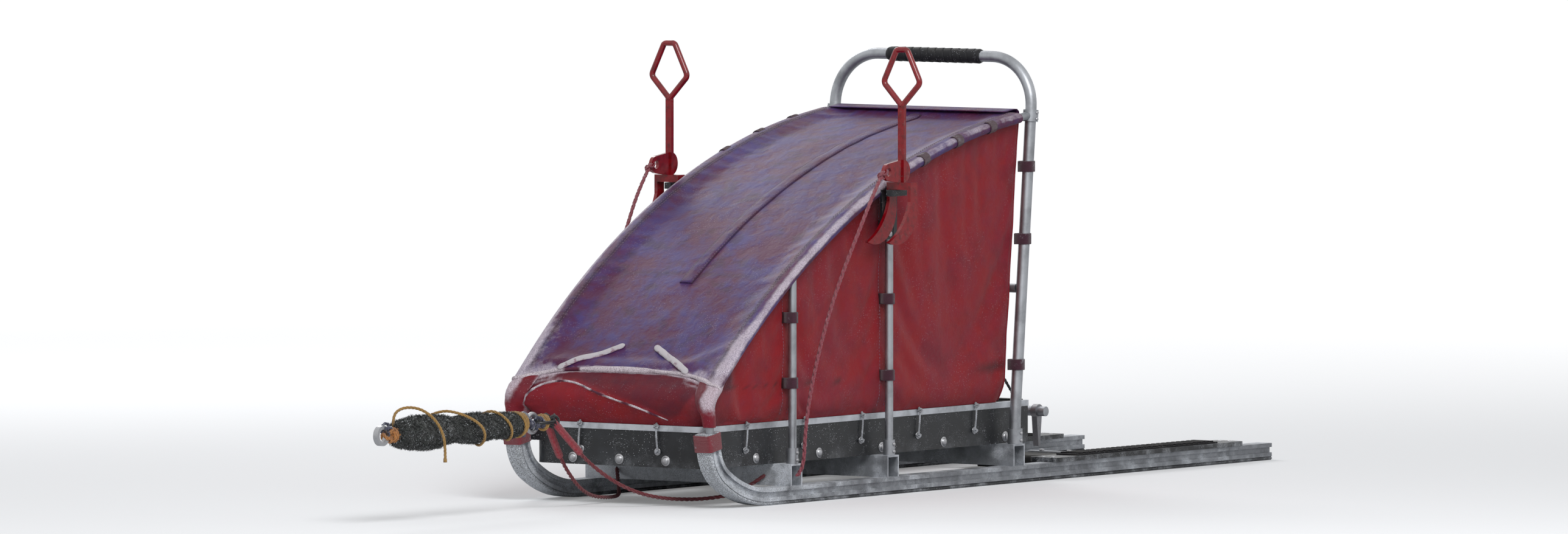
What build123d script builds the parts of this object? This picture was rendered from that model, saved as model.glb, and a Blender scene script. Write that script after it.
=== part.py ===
"""Toboggan-type dog sled: runners, bed, rails, driver's bow, bag, brakes, snow hook and tow rig.

Millimetres. +Z is up, the nose points to -X and the origin lies on the floor under the middle of
the whole object. Places along the sled are stations: distances behind the runner tips.
"""

import os
from math import cos, pi, radians, sin, sqrt, tan

from build123d import *

# Overall sizes
RUNNER_LENGTH = 2200.0      # runner tip to runner tail
TOW_REACH = 850.0           # end of the tow eye ahead of the runner tips
TRACK = 510.0               # between the runners' centre lines
HANDLE_HEIGHT = 940.0       # centre of the driver's bow at its top
SEAT = 0.3                  # gap where one piece rests on another

# Runners
RUNNER_WIDTH = 40.0
RUNNER_DEPTH = 30.0
GROOVE_DEPTH = 6.0
GROOVE_HEIGHT = 12.0
SHOE_THICKNESS = 8.0
SHOE_CHAMFER = 2.5
TOE_ANGLE = 32.0            # slope of the toe between its two bends
TIP_ANGLE = 80.0            # slope of the tip
TOE_RADIUS = 330.0
CURL_RADIUS = 110.0
TIP_STRAIGHT = 40.0
WRAP_WALL = 3.0             # lashing round each tip

# Cross beams and bed
BEAM_STATIONS = (330.0, 700.0, 1190.0)
BEAM_DEPTH = 44.0           # along the sled
BEAM_WALL = 4.0
BED_UNDERSIDE = 86.0
BED_THICKNESS = 8.0
BED_FRONT = 50.0
BED_REAR = 1290.0
BED_INSET = 25.0            # edge of the bed inside the runner's centre line
BOARD_THICKNESS = 8.0
BOARD_TOP = 175.0
BOARD_CORNER = 32.0
FRONT_BOARD_RETURN = 110.0
EAR_REACH = 38.0            # ears of the front board, lashed to the runner tips
EAR_HEIGHT = 30.0
TRIM_WALL = 2.0
TRIM_DEPTH = 10.0
TRIM_CAP = 3.0

# Side rails, struts and driver's bow
RAIL_OUTSET = 9.0           # rails, struts and bow stand this far outside the runners' centre lines
RAIL_RADIUS = 9.0
RAIL_NECK_RADIUS = 120.0
RAIL_RISE_ANGLE = 42.0      # slope of the rail over the nose
RAIL_END_ANGLE = 7.5        # slope of the rail where it meets the bow
RAIL_BEND_SHARE = 0.97      # share of the rail's long runs that its bend takes up
RAIL_DROP = 128.0           # that joint lies this far below the bow's top
RAIL_STUB = 1.0             # straight start of the rail before its first bend
TUBE_WALL = 1.8
STRUT_STATIONS = BEAM_STATIONS[:2]
STRUT_RADIUS = 9.0
SOCKET_WALL = 4.0
SOCKET_HEIGHT = 34.0
BOW_RADIUS = 12.5
BOW_TOP_STATION = 1262.0
BOW_KINK_HEIGHT = 146.0
BOW_KINK_RADIUS = 300.0
BOW_CORNER_RADIUS = 110.0
CROSSBAR_HEIGHT = 430.0
CROSSBAR_RADIUS = 10.0
COLLAR_WALL = 4.5
COLLAR_HEIGHT = 26.0
GRIP_RADIUS = 17.0
GRIP_LENGTH = 250.0

# Bag
BAG_INSET = 5.0             # bag's sides inside the runners' centre lines
BAG_FOOT_INSET = 1.0        # bag's foot inside the bed's edge
BAG_SWELL_HEIGHT = 235.0    # where the lower walls reach their full width
BAG_WALL = 5.0
BAG_NOSE = 33.0             # foremost station of the front wall
BAG_TOP_OVER_RAIL = 12.0
BAG_BACK_GAP = 14.0         # back wall ahead of the bow's centre line
FRONT_WALL_TOP = 300.0
BAG_SEAM = 30.0             # depth of the front and back walls round their corners

# Driver's place
FOOTBOARD_STATIONS = (1330.0, 2080.0)
FOOTBOARD_WIDTH = 76.0
FOOTBOARD_INSET = 12.0      # middle of the footboard inside the runner's centre line
FOOTBOARD_THICKNESS = 10.0
FOOTBOARD_CORNER = 12.0
PAD_LENGTH = 560.0
PAD_WIDTH = 60.0
PAD_THICKNESS = 3.0
PAD_RIB = 3.0
PAD_PITCH = 20.0

# Claw brake
BRAKE_PIVOT_STATION = 1252.0
BRAKE_PIVOT_HEIGHT = 62.0
BRAKE_PIVOT_SIDE = 95.0
BRAKE_REACH = 240.0
BRAKE_REST_ANGLE = 19.0     # arms slope up to the rear when the brake is off
BRAKE_ARM_WIDTH = 10.0
BRAKE_ARM_DEPTH = 20.0
BRAKE_BAR_RADIUS = 11.0
BRAKE_BAR_HALF = 150.0
CLAW_SIDE = 125.0
CLAW_LENGTH = 78.0          # from the bar's centre to the claw's tip
CLAW_WIDTH = 14.0
CLAW_TIP = 3.0
EAR_RADIUS = 14.0
PEDAL_LENGTH = 62.0
PEDAL_WIDTH = 144.0
PEDAL_THICKNESS = 4.0
PIN_RADIUS = 5.0
PIN_PLAY = 0.06
EAR_THICKNESS = 5.0
EAR_GAP = 1.0
HINGE_HEAD = 3.0

# Drag mat
MAT_BAR_STATION = 1560.0
MAT_BAR_HEIGHT = 24.0
MAT_BAR_RADIUS = 8.0
MAT_FLANGE_RADIUS = 13.0
MAT_FLANGE_THICKNESS = 5.0
MAT_SLEEVE_WALL = 3.4
MAT_HALF_WIDTH = 150.0
MAT_LENGTH = 310.0
MAT_THICKNESS = 7.0
MAT_UNDERSIDE = 14.0
LUG_HEIGHT = 13.0
LUG_LENGTH = 14.0
LUG_ROWS = 6
LUG_WIDTH = 66.0
LUG_PITCH_ACROSS = 96.0
LUG_TAPER = 12.0
MAT_STRIP = 34.0

# Snow hook and holster
HOOK_STATION = 680.0
HOOK_OUTSET = 48.0          # hooks' shanks outside the rails
HOOK_YOKE_DROP = 5.5        # underside of the yoke below the rail's centre line
HOOK_SHANK = 190.0          # from there to the shank's top
HOOK_BAR = 16.0
HOOK_BAR_THICKNESS = 9.0
HANDLE_ROD = 6.5
HANDLE_HALF_WIDTH = 49.0
HANDLE_CORNER_RISE = 45.0   # corners of the handle above the shank's top
HANDLE_RISE = 117.0         # top of the handle above the shank's top
HANDLE_CROWN = 14.0
CLAW_FORWARD = 96.0
CLAW_SPREAD = 28.0
HOOK_CLAW_THICKNESS = 8.0
HOOK_CLAW_WIDTH = 26.0
HOOK_CLAW_DROP = 112.0
EYE_REACH = 74.0
EYE_RISE = 40.0             # eye above the underside of the yoke
EYE_RADIUS = 9.0
EYE_PLATE_HEEL = 26.0
EYE_PLATE_TIP = 19.0
SHELF_HALF = 28.0
SHELF_SHORT = 6.0           # the shelf ends this far inside the shank's middle
SHELF_THICKNESS = 14.0
SHELF_SLOT_PLAY = 1.5
HOLSTER_PLATE = 6.0
HOLSTER_DROP = 110.0

# Tow rig
TOW_HEIGHT = 195.0
RING_STATION = -275.0
RING_RADIUS = 20.0
RING_ROD = 4.5
SHACKLE_REAR = -205.0
LINK_ROD = 4.0
LINK_HALF_WIDTH = 17.0
FRONT_STUB = 21.0           # rope between the tow eye and the absorber
REAR_STUB = 30.5            # rope between the absorber and the ring
ABSORBER_LOBES = ((0.0, 0.48, 44.0), (0.48, 0.79, 40.0), (0.79, 1.0, 35.0))
ABSORBER_NECK = 31.0
TOW_ROPE_RADIUS = 8.0
EYE_INNER_RADIUS = 14.0
EYE_THICKNESS = 12.0
EYE_WALL = 8.0
LEG_ROPE_RADIUS = 4.5
LEG_SLEEVE_RADIUS = 8.5
HOOK_LINE_RADIUS = 6.0

# Places worked out from the sizes
SIDES = {"right": 1.0, "left": -1.0}
MIDDLE = (RUNNER_LENGTH - TOW_REACH) / 2
RUNNER_TOP = SHOE_THICKNESS + RUNNER_DEPTH
RUNNER_SIDE = TRACK / 2
BED_HALF_WIDTH = RUNNER_SIDE - BED_INSET
RAIL_SIDE = RUNNER_SIDE + RAIL_OUTSET
RAIL_MEETS_BOW = HANDLE_HEIGHT - RAIL_DROP
BAG_HALF_WIDTH = RUNNER_SIDE - BAG_INSET
BAG_FOOT_HALF_WIDTH = BED_HALF_WIDTH - BAG_FOOT_INSET
FOOTBOARD_CENTRE = RUNNER_SIDE - FOOTBOARD_INSET
HOOK_SIDE = RAIL_SIDE + HOOK_OUTSET


def at(station, side=0.0, height=0.0):
    """A point of the model from its station, its distance to the right and its height."""
    return Vector(station - MIDDLE, side, height)


def forward_up(angle):
    """Direction that leads forward and up at an angle in degrees."""
    return Vector(-cos(radians(angle)), 0, sin(radians(angle)))


def rearward_up(angle):
    """Direction that leads to the rear and up at an angle in degrees."""
    return Vector(cos(radians(angle)), 0, sin(radians(angle)))


def route_bends(points):
    """Largest arcs that a limp route's runs allow, one for each inner point."""
    bends = []
    for before, corner, after in zip(points, points[1:], points[2:]):
        turn = radians((corner - before).get_angle(after - corner))
        shorter = min((corner - before).length, (after - corner).length)
        bends.append(0.45 * shorter / tan(turn / 2))
    return bends


def rod(points, bends, radius, bore=0.0):
    """A round rod, or a tube where it has a bore, along straight runs joined by arcs."""
    with BuildPart() as made:
        with BuildLine() as route:
            if len(points) == 2:
                Line(points[0], points[1])
            else:
                FilletPolyline(*points, radius=bends)
        with BuildSketch(Plane(origin=route.line @ 0, z_dir=route.line % 0)):
            Circle(radius)
            if bore > 0:
                Circle(bore, mode=Mode.SUBTRACT)
        sweep(path=route.line)
    return made.part


def block(low, high):
    """A plain block between two opposite corners."""
    with BuildPart() as made:
        with Locations((low + high) * 0.5):
            Box(*tuple(high - low))
    return made.part


def bar_along(plane, radius, length, bore=0.0):
    """A round bar from a plane's origin along its normal."""
    with BuildPart() as made:
        with BuildSketch(plane):
            Circle(radius)
            if bore > 0:
                Circle(bore, mode=Mode.SUBTRACT)
        extrude(amount=length)
    return made.part


def save(shape, name):
    """Label one piece and write its file."""
    shape.label = name
    export_step(shape, f"parts/{name}.step")


os.makedirs("parts", exist_ok=True)

# Runner line: flat to the toe, then two bends up to the tip
toe_setback = TOE_RADIUS * tan(radians(TOE_ANGLE / 2))
curl_setback = CURL_RADIUS * tan(radians((TIP_ANGLE - TOE_ANGLE) / 2))
curl_to_tip = forward_up(TIP_ANGLE) * (curl_setback + TIP_STRAIGHT)
toe_to_curl = forward_up(TOE_ANGLE) * (toe_setback + curl_setback)
tip_foot = at(0) - Vector((curl_to_tip + toe_to_curl).X, 0, 0)
curl_corner = tip_foot + toe_to_curl
tip_end = curl_corner + curl_to_tip
tip_inward = Vector(sin(radians(TIP_ANGLE)), 0, cos(radians(TIP_ANGLE)))
tip_centre = tip_end + tip_inward * (RUNNER_TOP / 2)


def runner_line(side):
    """Underside of one runner, from its tail to its tip."""
    offset = Vector(0, side, 0)
    with BuildLine() as line:
        FilletPolyline(
            at(RUNNER_LENGTH) + offset,
            tip_foot + offset,
            curl_corner + offset,
            tip_end + offset,
            radius=[TOE_RADIUS, CURL_RADIUS],
        )
    return line.line


def runner_section(side):
    """Plane across the runner at its tail, with local Y up."""
    return Plane(origin=at(RUNNER_LENGTH, side), x_dir=(0, -1, 0), z_dir=(-1, 0, 0))


for name, sign in SIDES.items():
    with BuildPart() as runner:
        with BuildSketch(runner_section(sign * RUNNER_SIDE)):
            with Locations((0, SHOE_THICKNESS + RUNNER_DEPTH / 2)):
                Rectangle(RUNNER_WIDTH, RUNNER_DEPTH)
                with Locations(
                    ((RUNNER_WIDTH - GROOVE_DEPTH) / 2, 0),
                    ((GROOVE_DEPTH - RUNNER_WIDTH) / 2, 0),
                ):
                    Rectangle(GROOVE_DEPTH, GROOVE_HEIGHT, mode=Mode.SUBTRACT)
        sweep(path=runner_line(sign * RUNNER_SIDE))
    save(runner.part, f"runner_{name}")

    with BuildPart() as shoe:
        with BuildSketch(runner_section(sign * RUNNER_SIDE)) as profile:
            with Locations((0, SHOE_THICKNESS / 2)):
                Rectangle(RUNNER_WIDTH, SHOE_THICKNESS)
            chamfer(profile.vertices().group_by(Axis.Z)[0], SHOE_CHAMFER)
        sweep(path=runner_line(sign * RUNNER_SIDE))
    save(shoe.part, f"shoe_{name}")

# Lashing round each tip
with BuildPart() as tip_wraps:
    for sign in SIDES.values():
        wrap_plane = Plane(
            origin=tip_centre + Vector(0, sign * RUNNER_SIDE, 0),
            x_dir=(0, -1, 0),
            z_dir=-forward_up(TIP_ANGLE),
        )
        with BuildSketch(wrap_plane):
            RectangleRounded(
                RUNNER_WIDTH + 2 * (WRAP_WALL + SEAT), RUNNER_TOP + 2 * (WRAP_WALL + SEAT), WRAP_WALL
            )
            Rectangle(RUNNER_WIDTH + 2 * SEAT, RUNNER_TOP + 2 * SEAT, mode=Mode.SUBTRACT)
        extrude(amount=TIP_STRAIGHT)
save(tip_wraps.part, "tip_wraps")

# Cross beams: channels, open below, that stand on both runners
beam_half = RUNNER_SIDE + RUNNER_WIDTH / 2
with BuildPart() as cross_beams:
    for place in BEAM_STATIONS:
        with BuildSketch(Plane(origin=at(place, beam_half), x_dir=(1, 0, 0), z_dir=(0, -1, 0))):
            with Locations((0, (RUNNER_TOP + BED_UNDERSIDE) / 2)):
                Rectangle(BEAM_DEPTH, BED_UNDERSIDE - RUNNER_TOP)
            with Locations((0, (RUNNER_TOP + BED_UNDERSIDE) / 2 - BEAM_WALL)):
                Rectangle(
                    BEAM_DEPTH - 2 * BEAM_WALL, BED_UNDERSIDE - RUNNER_TOP, mode=Mode.SUBTRACT
                )
        extrude(amount=2 * beam_half)
save(cross_beams.part, "cross_beams")


# Bed sheet with boards on three sides
def bed_outline(inset):
    """Plan of the bed as a long U, open to the rear, drawn in by an inset."""
    front = BED_FRONT + inset
    half = BED_HALF_WIDTH - inset
    with BuildSketch() as plan:
        with Locations(((front + BED_REAR) / 2 - MIDDLE, 0)):
            Rectangle(BED_REAR - front, 2 * half)
        fillet(plan.vertices().group_by(Axis.X)[0], BOARD_CORNER - inset)
    return plan.sketch


with BuildPart() as bed_sheet:
    with BuildSketch(Plane.XY.offset(BED_UNDERSIDE)):
        add(bed_outline(BOARD_THICKNESS))
    extrude(amount=BED_THICKNESS)
save(bed_sheet.part, "bed_sheet")


def board_band(outer_inset, inner_inset, bottom, top):
    """Upright band that follows the bed's outline between two insets and two heights."""
    with BuildPart() as band:
        with BuildSketch(Plane.XY.offset(bottom)):
            add(bed_outline(outer_inset))
            add(bed_outline(inner_inset), mode=Mode.SUBTRACT)
        extrude(amount=top - bottom)
    return band.part


board_end = BED_FRONT + FRONT_BOARD_RETURN
reach = RUNNER_LENGTH
with BuildPart() as front_board:
    add(board_band(0, BOARD_THICKNESS, BED_UNDERSIDE, BOARD_TOP))
    add(block(at(board_end, -reach, 0), at(reach, reach, reach)), mode=Mode.SUBTRACT)
    ear_top = BOARD_TOP - TRIM_DEPTH - SEAT
    for sign in SIDES.values():
        ear_inner = sign * (BED_HALF_WIDTH - BOARD_CORNER)
        ear_outer = sign * (BED_HALF_WIDTH + EAR_REACH)
        add(
            block(
                at(BED_FRONT, min(ear_inner, ear_outer), ear_top - EAR_HEIGHT),
                at(BED_FRONT + BOARD_THICKNESS, max(ear_inner, ear_outer), ear_top),
            )
        )
save(front_board.part, "front_board")

for name, sign in SIDES.items():
    with BuildPart() as side_board:
        add(board_band(0, BOARD_THICKNESS, BED_UNDERSIDE, BOARD_TOP))
        add(
            block(
                at(board_end, min(0, sign * reach), 0), at(reach, max(0, sign * reach), reach)
            ),
            mode=Mode.INTERSECT,
        )
    save(side_board.part, f"side_board_{name}")

with BuildPart() as board_trim:
    add(board_band(-TRIM_WALL, BOARD_THICKNESS + TRIM_WALL, BOARD_TOP - TRIM_DEPTH, BOARD_TOP + TRIM_CAP))
    add(board_band(0, BOARD_THICKNESS, BOARD_TOP - TRIM_DEPTH, BOARD_TOP), mode=Mode.SUBTRACT)
save(board_trim.part, "board_trim")

# Driver's bow: one bent tube from beam to beam over the handlebar
bow_foot = BEAM_STATIONS[2]
bow_slope = (BOW_TOP_STATION - bow_foot) / (HANDLE_HEIGHT - BOW_KINK_HEIGHT)


def bow_station(height):
    """Station of the bow's centre line at a height above its kink."""
    return bow_foot + bow_slope * (height - BOW_KINK_HEIGHT)


bow_points = [
    at(bow_foot, -RAIL_SIDE, BED_UNDERSIDE),
    at(bow_foot, -RAIL_SIDE, BOW_KINK_HEIGHT),
    at(BOW_TOP_STATION, -RAIL_SIDE, HANDLE_HEIGHT),
    at(BOW_TOP_STATION, RAIL_SIDE, HANDLE_HEIGHT),
    at(bow_foot, RAIL_SIDE, BOW_KINK_HEIGHT),
    at(bow_foot, RAIL_SIDE, BED_UNDERSIDE),
]
bow_bends = [BOW_KINK_RADIUS, BOW_CORNER_RADIUS, BOW_CORNER_RADIUS, BOW_KINK_RADIUS]
driver_bow = rod(bow_points, bow_bends, BOW_RADIUS, BOW_RADIUS - TUBE_WALL)
save(driver_bow, "driver_bow")

crossbar_place = at(bow_station(CROSSBAR_HEIGHT), 0, CROSSBAR_HEIGHT)
crossbar_half = Vector(0, RAIL_SIDE - BOW_RADIUS - SEAT, 0)
save(
    rod([crossbar_place - crossbar_half, crossbar_place + crossbar_half], [], CROSSBAR_RADIUS),
    "bow_crossbar",
)

grip_place = at(BOW_TOP_STATION, -GRIP_LENGTH / 2, HANDLE_HEIGHT)
with BuildPart() as handlebar_grip:
    add(
        bar_along(
            Plane(origin=grip_place, z_dir=(0, 1, 0)), GRIP_RADIUS, GRIP_LENGTH, BOW_RADIUS + SEAT
        )
    )
    chamfer(handlebar_grip.edges().filter_by(GeomType.CIRCLE).sort_by(SortBy.RADIUS)[-2:], WRAP_WALL)
save(handlebar_grip.part, "handlebar_grip")

# Side rails: from the runner tips up over the nose and back to the bow
collar_radius = BOW_RADIUS + COLLAR_WALL
rail_start = tip_centre + forward_up(TIP_ANGLE) * SEAT
neck_turn = radians(180 - TIP_ANGLE - RAIL_RISE_ANGLE)
neck_corner = rail_start + forward_up(TIP_ANGLE) * (RAIL_NECK_RADIUS * tan(neck_turn / 2) + RAIL_STUB)
rail_end = at(bow_station(RAIL_MEETS_BOW) - collar_radius - SEAT, 0, RAIL_MEETS_BOW)
rise = rearward_up(RAIL_RISE_ANGLE)
level = rearward_up(RAIL_END_ANGLE)
span = rail_end - neck_corner
rise_run = (span.X * level.Z - span.Z * level.X) / (rise.X * level.Z - rise.Z * level.X)
shoulder = neck_corner + rise * rise_run
level_run = (rail_end - shoulder).length
rail_turn = radians(RAIL_RISE_ANGLE - RAIL_END_ANGLE)
brow = neck_corner + rise * ((FRONT_WALL_TOP - neck_corner.Z) / rise.Z)
rail_radius = RAIL_BEND_SHARE * min((shoulder - brow).length, level_run) / tan(rail_turn / 2)
long_start = shoulder - rise * (rail_radius * tan(rail_turn / 2))
long_end = shoulder + level * (rail_radius * tan(rail_turn / 2))
long_centre = long_start + Vector(rise.Z, 0, -rise.X) * rail_radius


def rail_tube(side, radius, bore=0.0, end_stretch=0.0):
    """A tube along one side rail, with its rear end lengthened where it is cut to a seat."""
    offset = Vector(0, side, 0)
    centre_line = [rail_start, neck_corner, shoulder, rail_end + level * end_stretch]
    points = [point + offset for point in centre_line]
    return rod(points, [RAIL_NECK_RADIUS, rail_radius], radius, bore)


lean = (at(BOW_TOP_STATION, 0, HANDLE_HEIGHT) - at(bow_foot, 0, BOW_KINK_HEIGHT)).normalized()


def collar(sign, radius, height, bore=0.0):
    """A round sleeve about one leg of the bow where its rail meets it."""
    middle = at(bow_station(RAIL_MEETS_BOW), sign * RAIL_SIDE, RAIL_MEETS_BOW)
    return bar_along(Plane(origin=middle - lean * (height / 2), z_dir=lean), radius, height, bore)


with BuildPart() as side_rails:
    for sign in SIDES.values():
        rail_side = sign * RAIL_SIDE
        add(rail_tube(rail_side, RAIL_RADIUS, RAIL_RADIUS - TUBE_WALL, end_stretch=SOCKET_WALL))
        add(collar(sign, collar_radius + SEAT, 2 * COLLAR_HEIGHT), mode=Mode.SUBTRACT)
save(side_rails.part, "side_rails")

with BuildPart() as rail_collars:
    for sign in SIDES.values():
        add(collar(sign, collar_radius, COLLAR_HEIGHT, BOW_RADIUS + SEAT))
save(rail_collars.part, "rail_collars")


def rail_height(place):
    """Height of the rail's centre line at a station, on its long bend."""
    along = at(place).X - long_centre.X
    return long_centre.Z + sqrt(rail_radius**2 - along**2)


# Struts from the beams to the rails, with their sockets
with BuildPart() as struts:
    for place in STRUT_STATIONS:
        for sign in SIDES.values():
            foot = at(place, sign * RAIL_SIDE, BED_UNDERSIDE)
            add(bar_along(Plane(origin=foot), STRUT_RADIUS, rail_height(place) - BED_UNDERSIDE))
    for sign in SIDES.values():
        add(rail_tube(sign * RAIL_SIDE, RAIL_RADIUS + SEAT), mode=Mode.SUBTRACT)
save(struts.part, "struts")

sockets = [(place, STRUT_RADIUS) for place in STRUT_STATIONS] + [(bow_foot, BOW_RADIUS)]
with BuildPart() as strut_sockets:
    for place, held_radius in sockets:
        for sign in SIDES.values():
            foot = at(place, sign * RAIL_SIDE, BED_UNDERSIDE)
            with BuildSketch(Plane(origin=foot)):
                Circle(held_radius + SOCKET_WALL)
                Circle(held_radius + SEAT, mode=Mode.SUBTRACT)
            extrude(amount=SOCKET_HEIGHT)
save(strut_sockets.part, "strut_sockets")


# Bag: a hollow of sewn walls that stands on the trim between the rails
bag_foot = BOARD_TOP + TRIM_CAP + SEAT
long_middle = rearward_up(180 - (90 - (RAIL_RISE_ANGLE + RAIL_END_ANGLE) / 2))
rise_normal = Vector(-rise.Z, 0, rise.X)
level_normal = Vector(-level.Z, 0, level.X)


def flat(point):
    """A point's place in the sled's side view."""
    return (point.X, point.Z)


def bag_form(inset, top_inset, foot_drop=0.0):
    """Solid form of the bag, with its walls and its top drawn in and its foot lowered."""
    lift = BAG_TOP_OVER_RAIL - top_inset
    foot = bag_foot - foot_drop
    half = BAG_HALF_WIDTH - inset
    low_front = at(BED_FRONT + inset, 0, foot)
    nose = at(BAG_NOSE + inset, 0, BAG_SWELL_HEIGHT)
    low_back = at(bow_foot - BAG_BACK_GAP - inset, 0, foot)
    bend_end = long_end + level_normal * lift
    high_back = at(bow_station(RAIL_MEETS_BOW) - BAG_BACK_GAP - inset, 0, RAIL_MEETS_BOW)
    top_back = high_back + Vector(0, 0, lift)
    swell_share = (BAG_SWELL_HEIGHT - foot) / (BAG_SWELL_HEIGHT - bag_foot)
    foot_half = half - (BAG_HALF_WIDTH - BAG_FOOT_HALF_WIDTH) * swell_share
    with BuildPart() as form:
        with BuildSketch(Plane.XZ.offset(-half)):
            with BuildLine():
                Polyline(
                    flat(bend_end),
                    flat(top_back),
                    flat(low_back),
                    flat(low_front),
                    flat(nose),
                    flat(brow + rise_normal * lift + Vector(inset, 0, 0)),
                    flat(long_start + rise_normal * lift),
                )
                ThreePointArc(
                    flat(long_start + rise_normal * lift),
                    flat(long_centre + long_middle * (rail_radius + lift)),
                    flat(bend_end),
                )
            make_face()
        extrude(amount=2 * half)
        with BuildSketch(Plane.YZ.offset(at(0).X)):
            for sign in SIDES.values():
                with BuildLine():
                    Polyline(
                        (sign * foot_half, foot),
                        (sign * half, BAG_SWELL_HEIGHT),
                        (sign * reach, BAG_SWELL_HEIGHT),
                        (sign * reach, foot),
                        close=True,
                    )
                make_face()
        extrude(amount=reach, mode=Mode.SUBTRACT)
    return form.part


def beyond(origin, direction):
    """The space on one side of a plane."""
    with BuildPart() as space:
        with BuildSketch(Plane(origin=origin, z_dir=direction)):
            Rectangle(2 * reach, 2 * reach)
        extrude(amount=reach)
    return space.part


bag_outer = bag_form(0, 0)
bag_inner = bag_form(BAG_WALL, BAG_WALL, foot_drop=BAG_WALL)
bag_lowered = bag_form(0, BAG_WALL)
above_brow = beyond(brow, rise)
front_split = at(BED_FRONT + BAG_SEAM)
back_plane_origin = at(bow_foot - BAG_BACK_GAP - BAG_SEAM, 0, bag_foot)
behind_back = beyond(back_plane_origin, Vector(lean.Z, 0, -lean.X))

with BuildPart() as bag_front:
    add(bag_outer)
    add(bag_inner, mode=Mode.SUBTRACT)
    add(above_brow, mode=Mode.SUBTRACT)
    add(beyond(front_split, Vector(1, 0, 0)), mode=Mode.SUBTRACT)
save(bag_front.part, "bag_front")

with BuildPart() as bag_back:
    add(bag_lowered)
    add(bag_inner, mode=Mode.SUBTRACT)
    add(behind_back, mode=Mode.INTERSECT)
save(bag_back.part, "bag_back")

for name, sign in SIDES.items():
    with BuildPart() as bag_side:
        add(bag_lowered)
        add(bag_inner, mode=Mode.SUBTRACT)
        add(behind_back, mode=Mode.SUBTRACT)
        add(beyond(front_split, Vector(-1, 0, 0)), mode=Mode.SUBTRACT)
        add(beyond(at(0), Vector(0, -sign, 0)), mode=Mode.SUBTRACT)
    save(bag_side.part, f"bag_side_{name}")

    with BuildPart() as bag_cover:
        add(bag_outer)
        add(bag_lowered, mode=Mode.SUBTRACT)
        add(above_brow, mode=Mode.INTERSECT)
        add(beyond(at(0, sign * SEAT / 2), Vector(0, -sign, 0)), mode=Mode.SUBTRACT)
    save(bag_cover.part, f"bag_cover_{name}")

# Footboards on the runner tails, with ribbed rubber pads
board_middle = sum(FOOTBOARD_STATIONS) / 2
footboard_length = FOOTBOARD_STATIONS[1] - FOOTBOARD_STATIONS[0]
with BuildPart() as footboards:
    with BuildSketch(Plane.XY.offset(RUNNER_TOP + SEAT)):
        for sign in SIDES.values():
            with Locations((board_middle - MIDDLE, sign * FOOTBOARD_CENTRE)):
                RectangleRounded(footboard_length, FOOTBOARD_WIDTH, FOOTBOARD_CORNER)
    extrude(amount=FOOTBOARD_THICKNESS)
save(footboards.part, "footboards")

pad_foot = RUNNER_TOP + 2 * SEAT + FOOTBOARD_THICKNESS
with BuildPart() as foot_pads:
    for sign in SIDES.values():
        pad_place = (board_middle - MIDDLE, sign * FOOTBOARD_CENTRE)
        with BuildSketch(Plane.XY.offset(pad_foot)):
            with Locations(pad_place):
                RectangleRounded(PAD_LENGTH, PAD_WIDTH, PAD_RIB)
        extrude(amount=PAD_THICKNESS)
        with BuildSketch(Plane.XY.offset(pad_foot + PAD_THICKNESS)):
            with Locations(pad_place):
                with GridLocations(PAD_PITCH, 0, int(PAD_LENGTH / PAD_PITCH) - 1, 1):
                    Rectangle(PAD_PITCH / 2, PAD_WIDTH - 2 * PAD_RIB)
        extrude(amount=PAD_RIB)
save(foot_pads.part, "foot_pads")

# Claw brake: brackets and pins on the rear beam, then the swinging frame
beam_rear = bow_foot + BEAM_DEPTH / 2
clevis_half = BRAKE_ARM_WIDTH / 2 + EAR_GAP + EAR_THICKNESS
pivot_hole = PIN_RADIUS + PIN_PLAY
with BuildPart() as brake_brackets:
    for sign in SIDES.values():
        side = sign * BRAKE_PIVOT_SIDE
        with BuildSketch(Plane(origin=at(0, side + clevis_half), x_dir=(1, 0, 0), z_dir=(0, -1, 0))):
            with Locations((BRAKE_PIVOT_STATION, BRAKE_PIVOT_HEIGHT)):
                Circle(EAR_RADIUS)
            ear_length = BRAKE_PIVOT_STATION - beam_rear - SEAT
            with Locations((BRAKE_PIVOT_STATION - ear_length / 2, BRAKE_PIVOT_HEIGHT)):
                Rectangle(ear_length, 2 * EAR_RADIUS)
            with Locations((BRAKE_PIVOT_STATION, BRAKE_PIVOT_HEIGHT)):
                Circle(pivot_hole, mode=Mode.SUBTRACT)
        extrude(amount=2 * clevis_half)
        slot_half = clevis_half - EAR_THICKNESS
        add(
            block(
                at(beam_rear + EAR_THICKNESS, side - slot_half, 0),
                at(reach, side + slot_half, reach),
            ),
            mode=Mode.SUBTRACT,
        )
save(brake_brackets.part, "brake_brackets")

with BuildPart() as brake_pins:
    for sign in SIDES.values():
        start = at(BRAKE_PIVOT_STATION, sign * BRAKE_PIVOT_SIDE - clevis_half, BRAKE_PIVOT_HEIGHT)
        head = start - Vector(0, SEAT + HINGE_HEAD, 0)
        add(bar_along(Plane(origin=head, z_dir=(0, 1, 0)), PIN_RADIUS + HINGE_HEAD, HINGE_HEAD))
        pin_length = 2 * (clevis_half + SEAT) + HINGE_HEAD
        add(bar_along(Plane(origin=head, z_dir=(0, 1, 0)), PIN_RADIUS, pin_length + HINGE_HEAD))
save(brake_pins.part, "brake_pins")

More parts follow.
